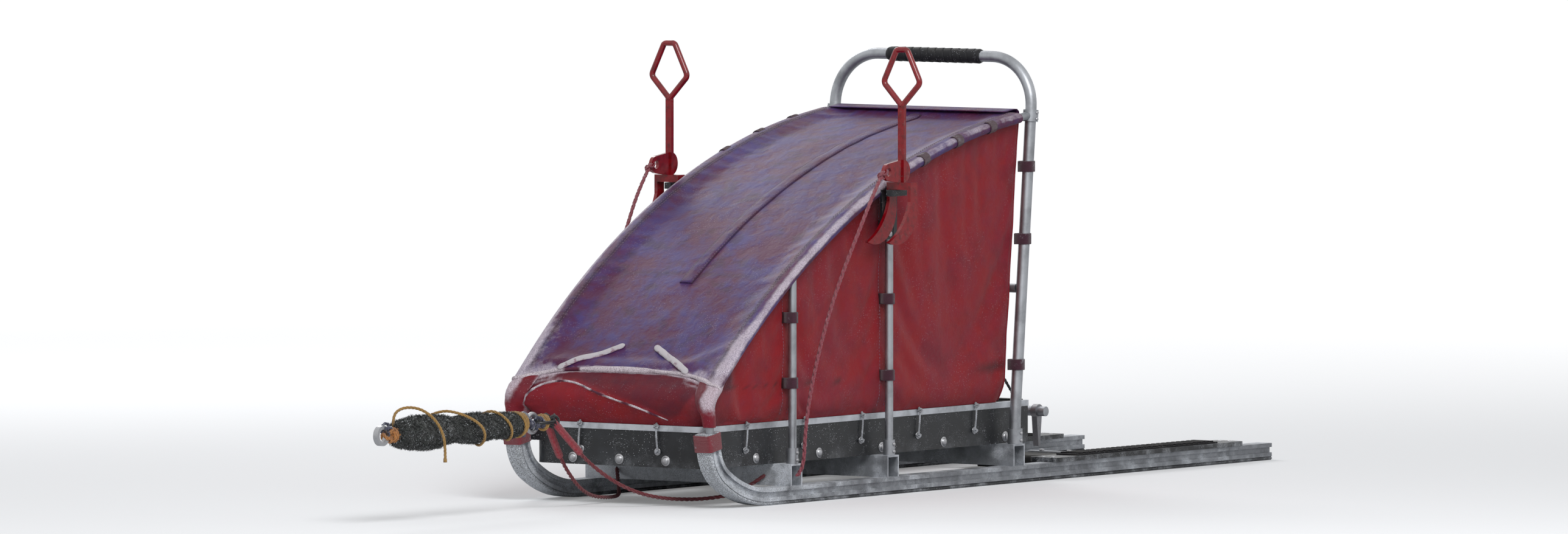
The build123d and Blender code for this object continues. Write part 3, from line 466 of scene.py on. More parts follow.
@dataclass(frozen=True)
class Sheet(Finish):
    """Tough plastic sheet: long scuffs, pale specks of snow and frost near the floor."""

    snow: float = 0.5
    scuff_axis: tuple[float, float, float] = (4.0, 40.0, 90.0)
    rime_top: float = 0.12
    nose_rime: float = 0.0

    def paint(self, wiring: Wiring) -> None:
        """Wire the finish's nodes.

        Args:
            wiring: the node tree of the finish's material.
        """
        scuffs = wiring.clouds(22.0, 4.0, wiring.stretched(self.scuff_axis)).step(0.56, 0.8)
        haze = wiring.clouds(12.0, 5.0).step(0.45, 0.8)
        grains = wiring.specks(170.0, 0.16) * wiring.clouds(9.0, 2.0).step(0.42, 0.6)
        dust = wiring.specks(520.0, 0.3) * wiring.clouds(30.0, 3.0).step(0.5, 0.66)
        low = 1 - wiring.height().step(self.rime_top * 0.2, self.rime_top)
        powder = 0.25 + 0.75 * wiring.clouds(460.0, 4.0).step(0.32, 0.62)
        crust = wiring.clouds(24.0, 7.0).step(0.42, 0.8) * low * powder * 0.75
        nose = (1 - wiring.length_along().step(-0.5, -0.3)) * self.nose_rime
        coat = (wiring.clouds(38.0, 7.0) + 0.2 * nose).step(0.36, 0.66) * powder * nose
        snow = (grains.peak(dust * 0.7).peak(crust) * self.snow).peak(coat * 0.95)
        worn = wiring.blend(self.colour, tint(0x3C4046), scuffs * 0.5 + 0.35 * haze)
        colour = wiring.blend(worn, RIME, snow)
        roughness = self.roughness + 0.2 * scuffs + 0.14 * haze + 0.25 * snow
        normal = wiring.relief(scuffs * 0.4 + wiring.clouds(300.0, 2.0) * 0.3, 0.00025)
        normal = wiring.relief(snow, 0.0014, normal)
        varied = {"Base Color": colour, "Roughness": roughness, "Normal": normal}
        wiring.finish(varied, {"Specular IOR Level": 0.45})


@dataclass(frozen=True)
class Rubber(Finish):
    """Black rubber with a fine grain, worn grey where boots rub."""

    wear: float = 0.5

    def paint(self, wiring: Wiring) -> None:
        """Wire the finish's nodes.

        Args:
            wiring: the node tree of the finish's material.
        """
        grain = wiring.clouds(650.0, 2.0)
        wear = (wiring.clouds(16.0, 4.0) + 0.16 * wiring.facing_up()).step(0.56, 0.84) * self.wear
        snow = wiring.specks(260.0, 0.2) * wiring.clouds(24.0, 3.0).step(0.5, 0.66)
        colour = wiring.blend(self.colour, tint(0x4A4845), wear)
        colour = wiring.blend(colour, RIME, snow * 0.7)
        normal = wiring.relief(grain, 0.0003)
        varied = {"Base Color": colour, "Roughness": self.roughness + 0.12 * grain, "Normal": normal}
        wiring.finish(varied, {"Specular IOR Level": 0.35})


@dataclass(frozen=True)
class CoatedCloth(Finish):
    """Coated woven cloth: weave, painted shade where the mesh marks it, a painted sky reflection in a second
    tone, and frost where the mesh is marked.
    """

    # second is the colour of a painted sky reflection; shade is the colour of painted shade and of random
    # dark patches.
    second: Colour = (0.1, 0.1, 0.2, 1.0)
    sky_reflection_share: float = 0.5
    shade: Colour = (0.05, 0.0, 0.01, 1.0)
    frost_tint: Colour = (0.7, 0.6, 0.7, 1.0)
    mottle: float = 0.22
    blotches: float = 7.0
    weave: float = 620.0

    def paint(self, wiring: Wiring) -> None:
        """Wire the finish's nodes.

        Args:
            wiring: the node tree of the finish's material.
        """
        warp = wiring.ribs(self.weave, "X", 0.3)
        weft = wiring.ribs(self.weave, "Z", 0.3)
        weave = warp * 0.5 + weft * 0.5
        broad = wiring.clouds(self.blotches, 4.0)
        fine = wiring.clouds(self.blotches * 4.5, 6.0)
        # Painted sky reflection: blotches of the second colour stand for the sky reflected in the cloth.
        sky_reflection = (broad * 0.55 + fine * 0.45).step(0.38, 0.63) * self.sky_reflection_share
        # Painted shade: where the mesh's painted-light mark is low, the cloth is darkened towards the shade
        # colour.
        dark = (1 - wiring.mark("puff_and_painted_light")) * 0.85
        patchy = wiring.clouds(self.blotches * 2.1, 5.0).step(0.46, 0.7) * self.mottle
        frost = wiring.mark("frost")
        crust = (frost * 1.15 + 0.75 * wiring.clouds(75.0, 7.0) - 0.4).step(0.2, 0.95)
        grains = wiring.clouds(520.0, 3.0).step(0.34, 0.6)
        flakes = wiring.specks(240.0, 0.13) * wiring.clouds(11.0, 2.0).step(0.42, 0.62)
        rime = (crust * (0.45 + 0.55 * grains)).peak(flakes * 0.8)
        cloth = wiring.blend(self.colour, self.second, sky_reflection)
        cloth = wiring.blend(cloth, self.shade, (dark * (0.55 + 0.45 * fine)).peak(patchy))
        cloth = wiring.blend(cloth, tint(0x14080C), wiring.mark("seam") * 0.6)
        colour = wiring.blend(cloth, self.frost_tint, rime)
        roughness = self.roughness + 0.1 * fine + 0.3 * rime
        normal = wiring.relief(weave, 0.00012)
        normal = wiring.relief(fine * 0.6 + broad * 0.4, 0.0045, normal)
        normal = wiring.relief(crust * (0.7 + 0.3 * grains), 0.0022, normal)
        varied = {"Base Color": colour, "Roughness": roughness, "Normal": normal}
        plain = {"Specular IOR Level": 0.3, "Sheen Weight": 0.08, "Sheen Roughness": 0.4}
        wiring.finish(varied, plain)


@dataclass(frozen=True)
class Cordage(Finish):
    """Rope or webbing yarn: fine slanting fibres, uneven dye and a little frost."""

    pale: Colour = (0.5, 0.3, 0.3, 1.0)
    rime: float = 0.3
    rime_from: float = 0.62
    frost_tint: Colour = RIME
    fibres: float = 900.0

    def paint(self, wiring: Wiring) -> None:
        """Wire the finish's nodes.

        Args:
            wiring: the node tree of the finish's material.
        """
        fibres = wiring.ribs(self.fibres, "DIAGONAL", 2.0)
        dye = wiring.clouds(120.0, 4.0)
        flecks = wiring.ribs(self.fibres * 0.23, "DIAGONAL", 4.0).step(0.6, 0.95) * dye
        patches = wiring.clouds(70.0, 6.0) + 0.1 * wiring.facing_up()
        crust = patches.step(self.rime_from, self.rime_from + 0.16)
        rime = crust * self.rime
        colour = wiring.blend(self.colour, self.pale, (flecks * 0.8 + 0.35 * fibres) * dye)
        colour = wiring.blend(colour, self.frost_tint, rime)
        normal = wiring.relief(fibres, 0.0004)
        normal = wiring.relief(rime, 0.001, normal)
        varied = {"Base Color": colour, "Roughness": self.roughness + 0.2 * dye, "Normal": normal}
        wiring.finish(varied, {"Specular IOR Level": 0.3, "Sheen Weight": 0.3, "Sheen Roughness": 0.5})


@dataclass(frozen=True)
class Pile(Finish):
    """Shaggy pile: mottled dark yarn with snow caught in it."""

    second: Colour = (0.1, 0.1, 0.1, 1.0)
    snow: float = 0.5

    def paint(self, wiring: Wiring) -> None:
        """Wire the finish's nodes.

        Args:
            wiring: the node tree of the finish's material.
        """
        mottle = wiring.clouds(90.0, 5.0)
        tufts = wiring.clouds(420.0, 3.0)
        snow = wiring.specks(210.0, 0.3) * wiring.clouds(40.0, 3.0).step(0.42, 0.58) * self.snow
        colour = wiring.blend(self.colour, self.second, (mottle * 0.6 + 0.4 * tufts).step(0.4, 0.72))
        colour = wiring.blend(colour, RIME, snow)
        normal = wiring.relief(tufts, 0.0025)
        varied = {"Base Color": colour, "Roughness": 0.8 + 0.15 * tufts, "Normal": normal}
        wiring.finish(varied, {"Specular IOR Level": 0.2, "Sheen Weight": 0.35, "Sheen Roughness": 0.6})


RUNNER_ALLOY = RimedMetal("runner_alloy_rimed", tint(0x8E9196), 0.42, rime_top=0.2, rime=0.95, nose_rime=1.0)
FRAME_ALLOY = RimedMetal("frame_alloy_drawn", tint(0xA6A9AE), 0.34, rime_top=0.3, rime=0.5)
TUBE_ALLOY = RimedMetal(
    "tube_alloy_drawn", tint(0xA9ACB1), 0.3, rime_top=0.5, rime=0.5, draw_axis=(90.0, 90.0, 6.0)
)
BEAM_ALLOY = RimedMetal("beam_alloy_snowy", tint(0xB4B8BE), 0.42, rime_top=0.9, rime=1.0, nose_rime=1.0)
TRIM_ALLOY = RimedMetal("trim_alloy_edge", tint(0xC2C6CC), 0.36, rime_top=0.3, rime=0.7)
SHOE_PLASTIC = Sheet("shoe_plastic_worn", tint(0x202226), 0.42, snow=0.8, rime_top=0.06, nose_rime=1.0)
BOARD_PLASTIC = Sheet("board_plastic_scuffed", tint(0x16181B), 0.38, snow=0.85)
BED_PLASTIC = Sheet("bed_plastic_scuffed", tint(0x1A1C1F), 0.4, snow=0.35)
TREAD_RUBBER = Rubber("tread_rubber_ribbed", tint(0x17171A), 0.78)
MAT_RUBBER = Rubber("mat_rubber_cast", tint(0x1B1B1C), 0.7, wear=0.7)
GRIP_TAPE = Rubber("grip_tape_wound", tint(0x16161A), 0.6, wear=0.35)
BARE_STEEL = Steel("steel_bare", tint(0xA8A9AC), 0.28)
CLAW_STEEL = Steel("steel_claws", tint(0x8C8C90), 0.36, rust=0.5)
BLACK_STEEL = Paint("steel_black", tint(0x121316), 0.35, chips=0.6)
HOOK_RED = Paint("steel_red_paint", tint(0x860A16), 0.16, chips=0.2)
# In the cloth finishes, second is the colour of a painted sky reflection and shade the colour of painted
# shade.
BAG_RED = CoatedCloth(
    "bag_cloth_red",
    tint(0x8C0D18),
    0.5,
    second=tint(0x7C1B34),
    sky_reflection_share=0.55,
    shade=tint(0x2A0A20),
    frost_tint=tint(0xE2D2DE),
)
COVER_MAROON = CoatedCloth(
    "cover_cloth_maroon",
    tint(0x521240),
    0.46,
    second=tint(0x423C80),
    sky_reflection_share=0.8,
    shade=tint(0x2E0620),
    frost_tint=tint(0xE0D4E2),
    mottle=0.6,
    blotches=8.5,
)
RIM_FROSTED = CoatedCloth(
    "rim_cloth_frosted",
    tint(0x6A1630),
    0.5,
    second=tint(0x5A3A62),
    sky_reflection_share=0.6,
    shade=tint(0x2A0A20),
    frost_tint=tint(0xEDE2EA),
)
BRIDLE_RED = Cordage("rope_bridle_red", tint(0x7C1A26), 0.6, pale=tint(0xB0606A), rime=0.25)
SLEEVE_RED = Cordage("sleeve_bridle_red", tint(0x9A2432), 0.62, pale=tint(0xC07078), rime=0.4)
HOOK_ROPE = Cordage("rope_hook_red", tint(0x9C2C40), 0.6, pale=tint(0xE0A0AC), rime=0.35)
LASHING_RED = Cordage("lashing_red", tint(0x8E2030), 0.62, pale=tint(0xB86874), rime=0.75)
TAN_ROPE = Cordage("rope_tan", tint(0xB98A3E), 0.58, pale=tint(0xE0BE7C), rime=0.15)
ORANGE_ROPE = Cordage("rope_orange", tint(0xC8803A), 0.6, pale=tint(0xE8B070), rime=0.2)
GREY_WEBBING = Cordage("webbing_grey", tint(0x3A3A54), 0.6, pale=tint(0x9498B0), rime=0.85, rime_from=0.52)
BLACK_WEBBING = Cordage("webbing_black", tint(0x17181C), 0.6, pale=tint(0x3C3E46), rime=0.3)
PALE_BUNGEE = Cordage("bungee_pale", tint(0xA4A8B0), 0.55, pale=tint(0xEEF0F2), rime=0.7, rime_from=0.45)
FROSTED_STRAP = Cordage(
    "strap_frosted",
    tint(0xB07C94),
    0.6,
    pale=tint(0xE8DCE4),
    rime=0.97,
    rime_from=0.36,
    frost_tint=tint(0xF2ECF2),
)
THREAD = Cordage("thread_mauve", tint(0x8A6880), 0.6, pale=tint(0xC0A8BC), rime=0.3)
MAROON_WEBBING = Cordage("webbing_maroon", tint(0x3C1024), 0.6, pale=tint(0x74405A), rime=0.5)
SLEEVE_PILE = Pile("pile_black", tint(0x090D0B), 0.85, second=tint(0x2A3630), snow=1.0)


def put(
    piece: bpy.types.Object,
    finish: Finish,
    body: str = BODY,
    stands_for: Sequence[str] = (),
) -> bpy.types.Object:
    """Dress a piece, let it ride on its body and report it.

    Args:
        piece: the new piece, already in place.
        finish: its finish.
        body: the CAD body that it moves with.
        stands_for: CAD nodes that it replaces.

    Returns:
        The piece.
    """
    piece.data.materials.clear()
    piece.data.materials.append(finish.material())
    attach(piece, body)
    if stands_for:
        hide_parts(*stands_for)
    log.info("%s rides on %s", piece.name, body)
    return piece


def dress(finish: Finish, *names: str) -> None:
    """Give CAD nodes a finish.

    Args:
        finish: the finish.
        names: the nodes.
    """
    for name in names:
        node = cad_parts[name]
        if not node.data.materials:
            node.data.materials.append(finish.material())
        for index in range(len(node.data.materials)):
            node.data.materials[index] = finish.material()
        log.info("%s keeps its CAD shape, finished as %s", name, finish.name)


class Skin:
    """Points and faces of one mesh as it grows."""

    def __init__(self) -> None:
        """Start empty."""
        self.points: list[Vector] = []
        self.faces: list[tuple[int, ...]] = []
        self.marks: dict[str, dict[int, float]] = {}

    def sheet(self, rows: Sequence[Sequence[Vector]], ring: bool = False, flip: bool = False) -> int:
        """Add a grid of faces over rows of points.

        Args:
            rows: rows with as many points each.
            ring: whether each row closes on itself.
            flip: whether the faces look the other way.

        Returns:
            The number of the grid's first point.
        """
        start = len(self.points)
        across = len(rows[0])
        for row in rows:
            self.points.extend(row)
        for up in range(len(rows) - 1):
            for along in range(across if ring else across - 1):
                after = (along + 1) % across
                low = start + up * across
                high = low + across
                face = (low + along, low + after, high + after, high + along)
                self.faces.append(face[::-1] if flip else face)
        return start

    def bar(self, rings: Sequence[Sequence[Vector]], flip: bool = False) -> None:
        """Add a grid over rings of points and close both its ends.

        Args:
            rings: rings with as many points each.
            flip: whether the faces look the other way.
        """
        start = self.sheet(rings, ring=True, flip=flip)
        sides = len(rings[0])
        last = start + (len(rings) - 1) * sides
        near = tuple(range(start, start + sides))
        far = tuple(range(last, last + sides))
        self.faces.append(near if flip else near[::-1])
        self.faces.append(far[::-1] if flip else far)

    def tube(
        self,
        centre: Sequence[Vector],
        radius: Union[float, Callable[[float], float]],
        sides: int = 10,
        closed: bool = False,
    ) -> None:
        """Add a tube along a line.

        Args:
            centre: points of its centre line.
            radius: its radius, or a rule for it from the share of the way along.
            sides: points round it.
            closed: whether the line closes on itself.
        """
        rows = []
        ways = headings(centre, closed)
        for number, (point, (across, up)) in enumerate(zip(centre, ways)):
            share = number / max(len(centre) - 1, 1)
            reach = radius(share) if callable(radius) else radius
            turns = [2 * math.pi * side / sides for side in range(sides)]
            rows.append([point + (across * math.cos(turn) + up * math.sin(turn)) * reach for turn in turns])
        if closed:
            self.sheet(rows + [rows[0]], ring=True)
        else:
            self.bar(rows)

    def band(self, centre: Sequence[Vector], out: Sequence[Vector], width: float, thickness: float) -> None:
        """Add a flat strap along a line.

        Args:
            centre: points along the middle of its lower face.
            out: for each point, the way that its upper face looks.
            width: its width.
            thickness: its thickness.
        """
        rows = []
        for number, (point, face) in enumerate(zip(centre, out)):
            before = centre[max(number - 1, 0)]
            after = centre[min(number + 1, len(centre) - 1)]
            across = (after - before).normalized().cross(face).normalized() * (width / 2)
            lift = face.normalized() * thickness
            edge = across * 0.82
            rows.append(
                [
                    point - across + lift * 0.2,
                    point + across + lift * 0.2,
                    point + across + lift * 0.8,
                    point + edge + lift,
                    point - edge + lift,
                    point - across + lift * 0.8,
                ]
            )
        self.bar(rows, flip=True)

    def turned(
        self, base: Vector, axis: Vector, profile: Sequence[tuple[float, float]], sides: int = 16
    ) -> None:
        """Add a turned form.

        Args:
            base: where its axis starts.
            axis: its axis.
            profile: rows of radius and distance along the axis.
            sides: points round it.
        """
        way = axis.normalized()
        across = way.orthogonal().normalized()
        up = way.cross(across)
        rows = []
        for reach, along in profile:
            turns = [2 * math.pi * side / sides for side in range(sides)]
            ring = [(across * math.cos(turn) + up * math.sin(turn)) * max(reach, 1e-5) for turn in turns]
            rows.append([base + way * along + spoke for spoke in ring])
        self.bar(rows)

    def mark(self, name: str, rule: Rule) -> None:
        """Let each point carry a number.

        Args:
            name: the number's name.
            rule: the number, or a rule for it from the point's place.
        """
        if callable(rule):
            self.marks[name] = {number: rule(point) for number, point in enumerate(self.points)}
        else:
            self.marks[name] = dict.fromkeys(range(len(self.points)), rule)

    def dye(self, frost: Rule, puff_and_painted_light: Rule, seam: Rule = 0.0) -> None:
        """Let each point of a cloth carry its frost, its painted light and shade, and its seams.

        Args:
            frost: how much frost lies on it.
            puff_and_painted_light: its painted light and shade, from dark to bright.
            seam: how much of a seam it is.
        """
        self.mark("frost", frost)
        self.mark("puff_and_painted_light", puff_and_painted_light)
        self.mark("seam", seam)

    def piece(self, name: str, smooth: bool = True, levels: int = 0) -> bpy.types.Object:
        """Make the mesh.

        Args:
            name: the piece's name.
            smooth: whether it is shaded smooth.
            levels: subdivision levels.

        Returns:
            The new object, in the scene.
        """
        mesh = bpy.data.meshes.new(name)
        mesh.from_pydata([tuple(point) for point in self.points], [], self.faces)
        mesh.validate()
        for title, numbers in self.marks.items():
            layer = mesh.attributes.new(title, "FLOAT", "POINT")
            for number, value in numbers.items():
                layer.data[number].value = value
        mesh.update()
        if smooth:
            mesh.shade_smooth()
        made = bpy.data.objects.new(name, mesh)
        bpy.context.scene.collection.objects.link(made)
        if levels:
            refined(made, levels)
        return made


def settled(piece: bpy.types.Object) -> bpy.types.Object:
    """Apply a piece's modifiers.

    Args:
        piece: the piece.

    Returns:
        The piece, with its final mesh.
    """
    graph = bpy.context.evaluated_depsgraph_get()
    mesh = bpy.data.meshes.new_from_object(piece.evaluated_get(graph), depsgraph=graph)
    piece.modifiers.clear()
    piece.data = mesh
    return piece


def refined(piece: bpy.types.Object, levels: int = 1) -> bpy.types.Object:
    """Subdivide a piece.

    Args:
        piece: the piece.
        levels: subdivision levels.

    Returns:
        The piece, with its final mesh.
    """
    finer = piece.modifiers.new("finer", "SUBSURF")
    finer.levels = levels
    finer.render_levels = levels
    return settled(piece)


def thicken(piece: bpy.types.Object, thickness: float, offset: float) -> None:
    """Give a piece of cloth its thickness.

    Args:
        piece: the cloth.
        thickness: its thickness in metres.
        offset: the side that it grows to, from -1 to 1.
    """
    thick = piece.modifiers.new("thick", "SOLIDIFY")
    thick.thickness = thickness
    thick.offset = offset


def hit(piece: bpy.types.Object, start: Vector, way: Vector) -> Optional[Vector]:
    """The place where a ray first meets a piece, or None where it misses."""
    struck, place, _, _ = piece.ray_cast(start, way)
    return place if struck else None


def settle_cloth(
    piece: bpy.types.Object,
    pins: dict[int, float],
    slack: float,
    frames: int,
    gravity: float,
    limit: float = 0.014,
    outward: float = 0.0025,
) -> None:
    """Let a cloth settle between the points that hold it, and cap how far it moves.

    Args:
        piece: the cloth's mesh.
        pins: how firmly each point is held, from 0 to 1.
        slack: how much longer the cloth is than the span, as a share.
        frames: steps of the simulation.
        gravity: share of the earth's pull.
        limit: the longest move, in metres.
        outward: the longest move away from the middle plane, in metres.
    """
    held = piece.vertex_groups.new(name="held")
    for index, weight in pins.items():
        held.add([index], min(max(weight, 0.0), 1.0), "REPLACE")
    before = [vertex.co.copy() for vertex in piece.data.vertices]
    cloth = piece.modifiers.new("settle", "CLOTH")
    cloth.settings.vertex_group_mass = "held"
    cloth.settings.quality = 6
    cloth.settings.mass = 0.25
    cloth.settings.tension_stiffness = 25
    cloth.settings.compression_stiffness = 12
    cloth.settings.shear_stiffness = 6
    cloth.settings.bending_stiffness = 0.4
    cloth.settings.shrink_min = -slack
    cloth.settings.effector_weights.gravity = gravity
    cloth.collision_settings.use_collision = False
    cloth.collision_settings.use_self_collision = False
    cloth.point_cache.frame_end = frames
    for number in range(1, frames + 1):
        bpy.context.scene.frame_set(number)
    settled(piece)
    for vertex, old in zip(piece.data.vertices, before):
        moved = vertex.co - old
        away = math.copysign(1.0, old.y)
        if moved.y * away > outward:
            moved.y = outward * away
        if moved.length > limit:
            moved *= limit / moved.length
        vertex.co = old + moved
    bpy.context.scene.frame_set(1)


def headings(centre: Sequence[Vector], closed: bool = False) -> list[tuple[Vector, Vector]]:
    """Directions across a line that turn as little as they can along it.

    Args:
        centre: the line's points.
        closed: whether it closes on itself.

    Returns:
        For each point, two directions square to the line and to each other.
    """
    count = len(centre)
    ways = []
    across = None
    for number in range(count):
        before = centre[(number - 1) % count] if closed else centre[max(number - 1, 0)]
        after = centre[(number + 1) % count] if closed else centre[min(number + 1, count - 1)]
        way = (after - before).normalized()
        across = way.orthogonal() if across is None else across - way * across.dot(way)
        across = across.normalized()
        ways.append((across, way.cross(across)))
    return ways


def line_of(points: Sequence[Vector], fineness: int = 16) -> list[Vector]:
    """The smooth line of a limp route.

    Args:
        points: the route's control points.
        fineness: points for each run.

    Returns:
        Points of the NURBS spline through the route.
    """
    curve = bpy.data.curves.new("line", "CURVE")
    curve.dimensions = "3D"
    spline = curve.splines.new("NURBS")
    spline.points.add(len(points) - 1)
    for place, point in zip(spline.points, points):
        place.co = (*point, 1.0)
    spline.order_u = 3
    spline.use_endpoint_u = True
    spline.resolution_u = fineness
    made = bpy.data.objects.new("line", curve)
    bpy.context.scene.collection.objects.link(made)
    graph = bpy.context.evaluated_depsgraph_get()
    mesh = bpy.data.meshes.new_from_object(made.evaluated_get(graph))
    found = [vertex.co.copy() for vertex in mesh.vertices]
    bpy.data.objects.remove(made)
    bpy.data.curves.remove(curve)
    bpy.data.meshes.remove(mesh)
    return found


def length_of(line: Sequence[Vector]) -> float:
    """Length of a line of points."""
    return sum((after - before).length for before, after in zip(line, line[1:]))


def loop_of(
    centre: Vector, normal: Vector, radius: float, stretch: float = 1.0, count: int = 28
) -> list[Vector]:
    """Points of a closed oval.

    Args:
        centre: its middle.
        normal: the way that it faces.
        radius: its radius across.
        stretch: how much longer it is the other way.
        count: how many points it has.

    Returns:
        The points.
    """
    across = normal.orthogonal().normalized()
    up = normal.normalized().cross(across)
    turns = [2 * math.pi * number / count for number in range(count)]
    return [centre + across * (radius * math.cos(t)) + up * (radius * stretch * math.sin(t)) for t in turns]


@dataclass
class Rope:
    """A rope of laid or plaited strands along a line."""

    radius: float
    lay: Lay = Lay.TWISTED
    strands: int = 3
    pitch: float = 5.0
    sides: int = 6

    def add_to(self, skin: Skin, line: Sequence[Vector], closed: bool = False) -> None:
        """Add the rope's strands to a mesh.

        Args:
            skin: the mesh.
            line: the rope's centre line.
            closed: whether the line closes on itself.
        """
        ways = headings(line, closed)
        travelled = [0.0]
        for before, after in zip(line, line[1:]):
            travelled.append(travelled[-1] + (after - before).length)
        turn = 2 * math.pi / (self.pitch * 2 * self.radius)
        thick = 0.47 * self.radius if self.lay is Lay.TWISTED else 0.42 * self.radius
        for strand in range(self.strands):
            lag = 2 * math.pi * strand / self.strands
            path = []
            for point, (across, up), way in zip(line, ways, travelled):
                phase = way * turn + lag
                if self.lay is Lay.TWISTED:
                    reach = self.radius - thick
                    path.append(point + (across * math.cos(phase) + up * math.sin(phase)) * reach)
                else:
                    spread = self.radius - thick
                    sway = across * (spread * math.sin(phase))
                    path.append(point + sway + up * (spread * 0.6 * math.sin(2 * phase)))
            skin.tube(path, thick, self.sides)


BEAM_STATIONS = (330.0, 700.0, 1190.0)
RAIL_JOINT = 812.0
RAIL_OUTSIDE = 264.0
RAIL_TUBE = 9.0
BROW = (80.45, 300.0)
ARC_MIDDLE = (1412.6, -1151.2)
ARC_RADIUS = 1969.9
ARC_ENDS = (94.5, 1155.5)
BOW_FOOT = (1190.0, 146.0)
BOW_TOP = (1262.0, 940.0)


def rail_height(station: float) -> float:
    """Height of a side rail's centre line.

    Args:
        station: millimetres behind the runner tips.

    Returns:
        Millimetres above the floor.
    """
    inside = min(max(station, ARC_ENDS[0]), ARC_ENDS[1])
    along = inside - ARC_MIDDLE[0]
    height = ARC_MIDDLE[1] + math.sqrt(ARC_RADIUS**2 - along**2)
    slope = -along / (height - ARC_MIDDLE[1])
    return height + slope * (station - inside)


def rail_slope(station: float) -> Vector:
    """Direction along a side rail, to the rear and up."""
    rise = rail_height(station + 1) - rail_height(station - 1)
    return Vector((2.0, 0.0, rise)).normalized()


def rail_square(station: float) -> Vector:
    """Direction square to a side rail, up and forward."""
    way = rail_slope(station)
    return Vector((-way.z, 0, way.x))


def bow_station(height: float) -> float:
    """Station of the bow's legs at a height, both in millimetres."""
    share = (height - BOW_FOOT[1]) / (BOW_TOP[1] - BOW_FOOT[1])
    return BOW_FOOT[0] + max(share, 0.0) * (BOW_TOP[0] - BOW_FOOT[0])


@dataclass
class RunningGear:
    """Runners with their shoes, the lashed tips and the cross beams."""

    cord_radius: float = 0.0019
    turns: int = 15
    track_half: float = 255.0
    tip_angle: float = 80.0
    core: tuple[float, float] = (0.0213, 0.0203)

    def build(self) -> None:
        """Dress the nodes and wind the lashings."""
        dress(RUNNER_ALLOY, "runner_left", "runner_right")
        dress(SHOE_PLASTIC, "shoe_left", "shoe_right")
        dress(FRAME_ALLOY, "strut_sockets")
        dress(BEAM_ALLOY, "cross_beams")
        skin = Skin()
        for side in Side:
            self.wind(skin, side)
        put(skin.piece("tip_lashings"), LASHING_RED, stands_for=["tip_wraps"])

    def wind(self, skin: Skin, side: Side) -> None:
        """Wind one tip's lashing.

        Args:
            skin: the mesh that the cord is added to.
            side: the side of the sled.
        """
        low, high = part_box("tip_wraps")
        slant = math.radians(self.tip_angle)
        along = Vector((-math.cos(slant), 0, math.sin(slant)))
        across = Vector((math.sin(slant), 0, math.cos(slant)))
        middle = Vector(((low[0] + high[0]) / 2, side.value * self.track_half / 1000, (low[2] + high[2]) / 2))
        half_high = (high[2] - low[2] - 2 * self.core[1] * math.cos(slant)) / 2 / math.sin(slant)
        run = half_high - self.cord_radius * 1.2
        path = []
        steps = 28
        for number in range(self.turns * steps + 1):
            turn = 2 * math.pi * number / steps
            rise = -run + 2 * run * number / (self.turns * steps)
            wobble = 0.0004 * noise.noise(Vector((number * 0.11, side.value, 0)))
            reach_x = self.core[1] + self.cord_radius + wobble
            reach_y = self.core[0] + self.cord_radius + wobble
            cosine = math.cos(turn)
            sine = math.sin(turn)
            power = 0.32
            x_part = math.copysign(abs(cosine) ** power, cosine) * reach_x
            y_part = math.copysign(abs(sine) ** power, sine) * reach_y
            path.append(middle + along * rise + across * x_part + Vector((0, y_part, 0)))
        skin.tube(path, self.cord_radius, 6)


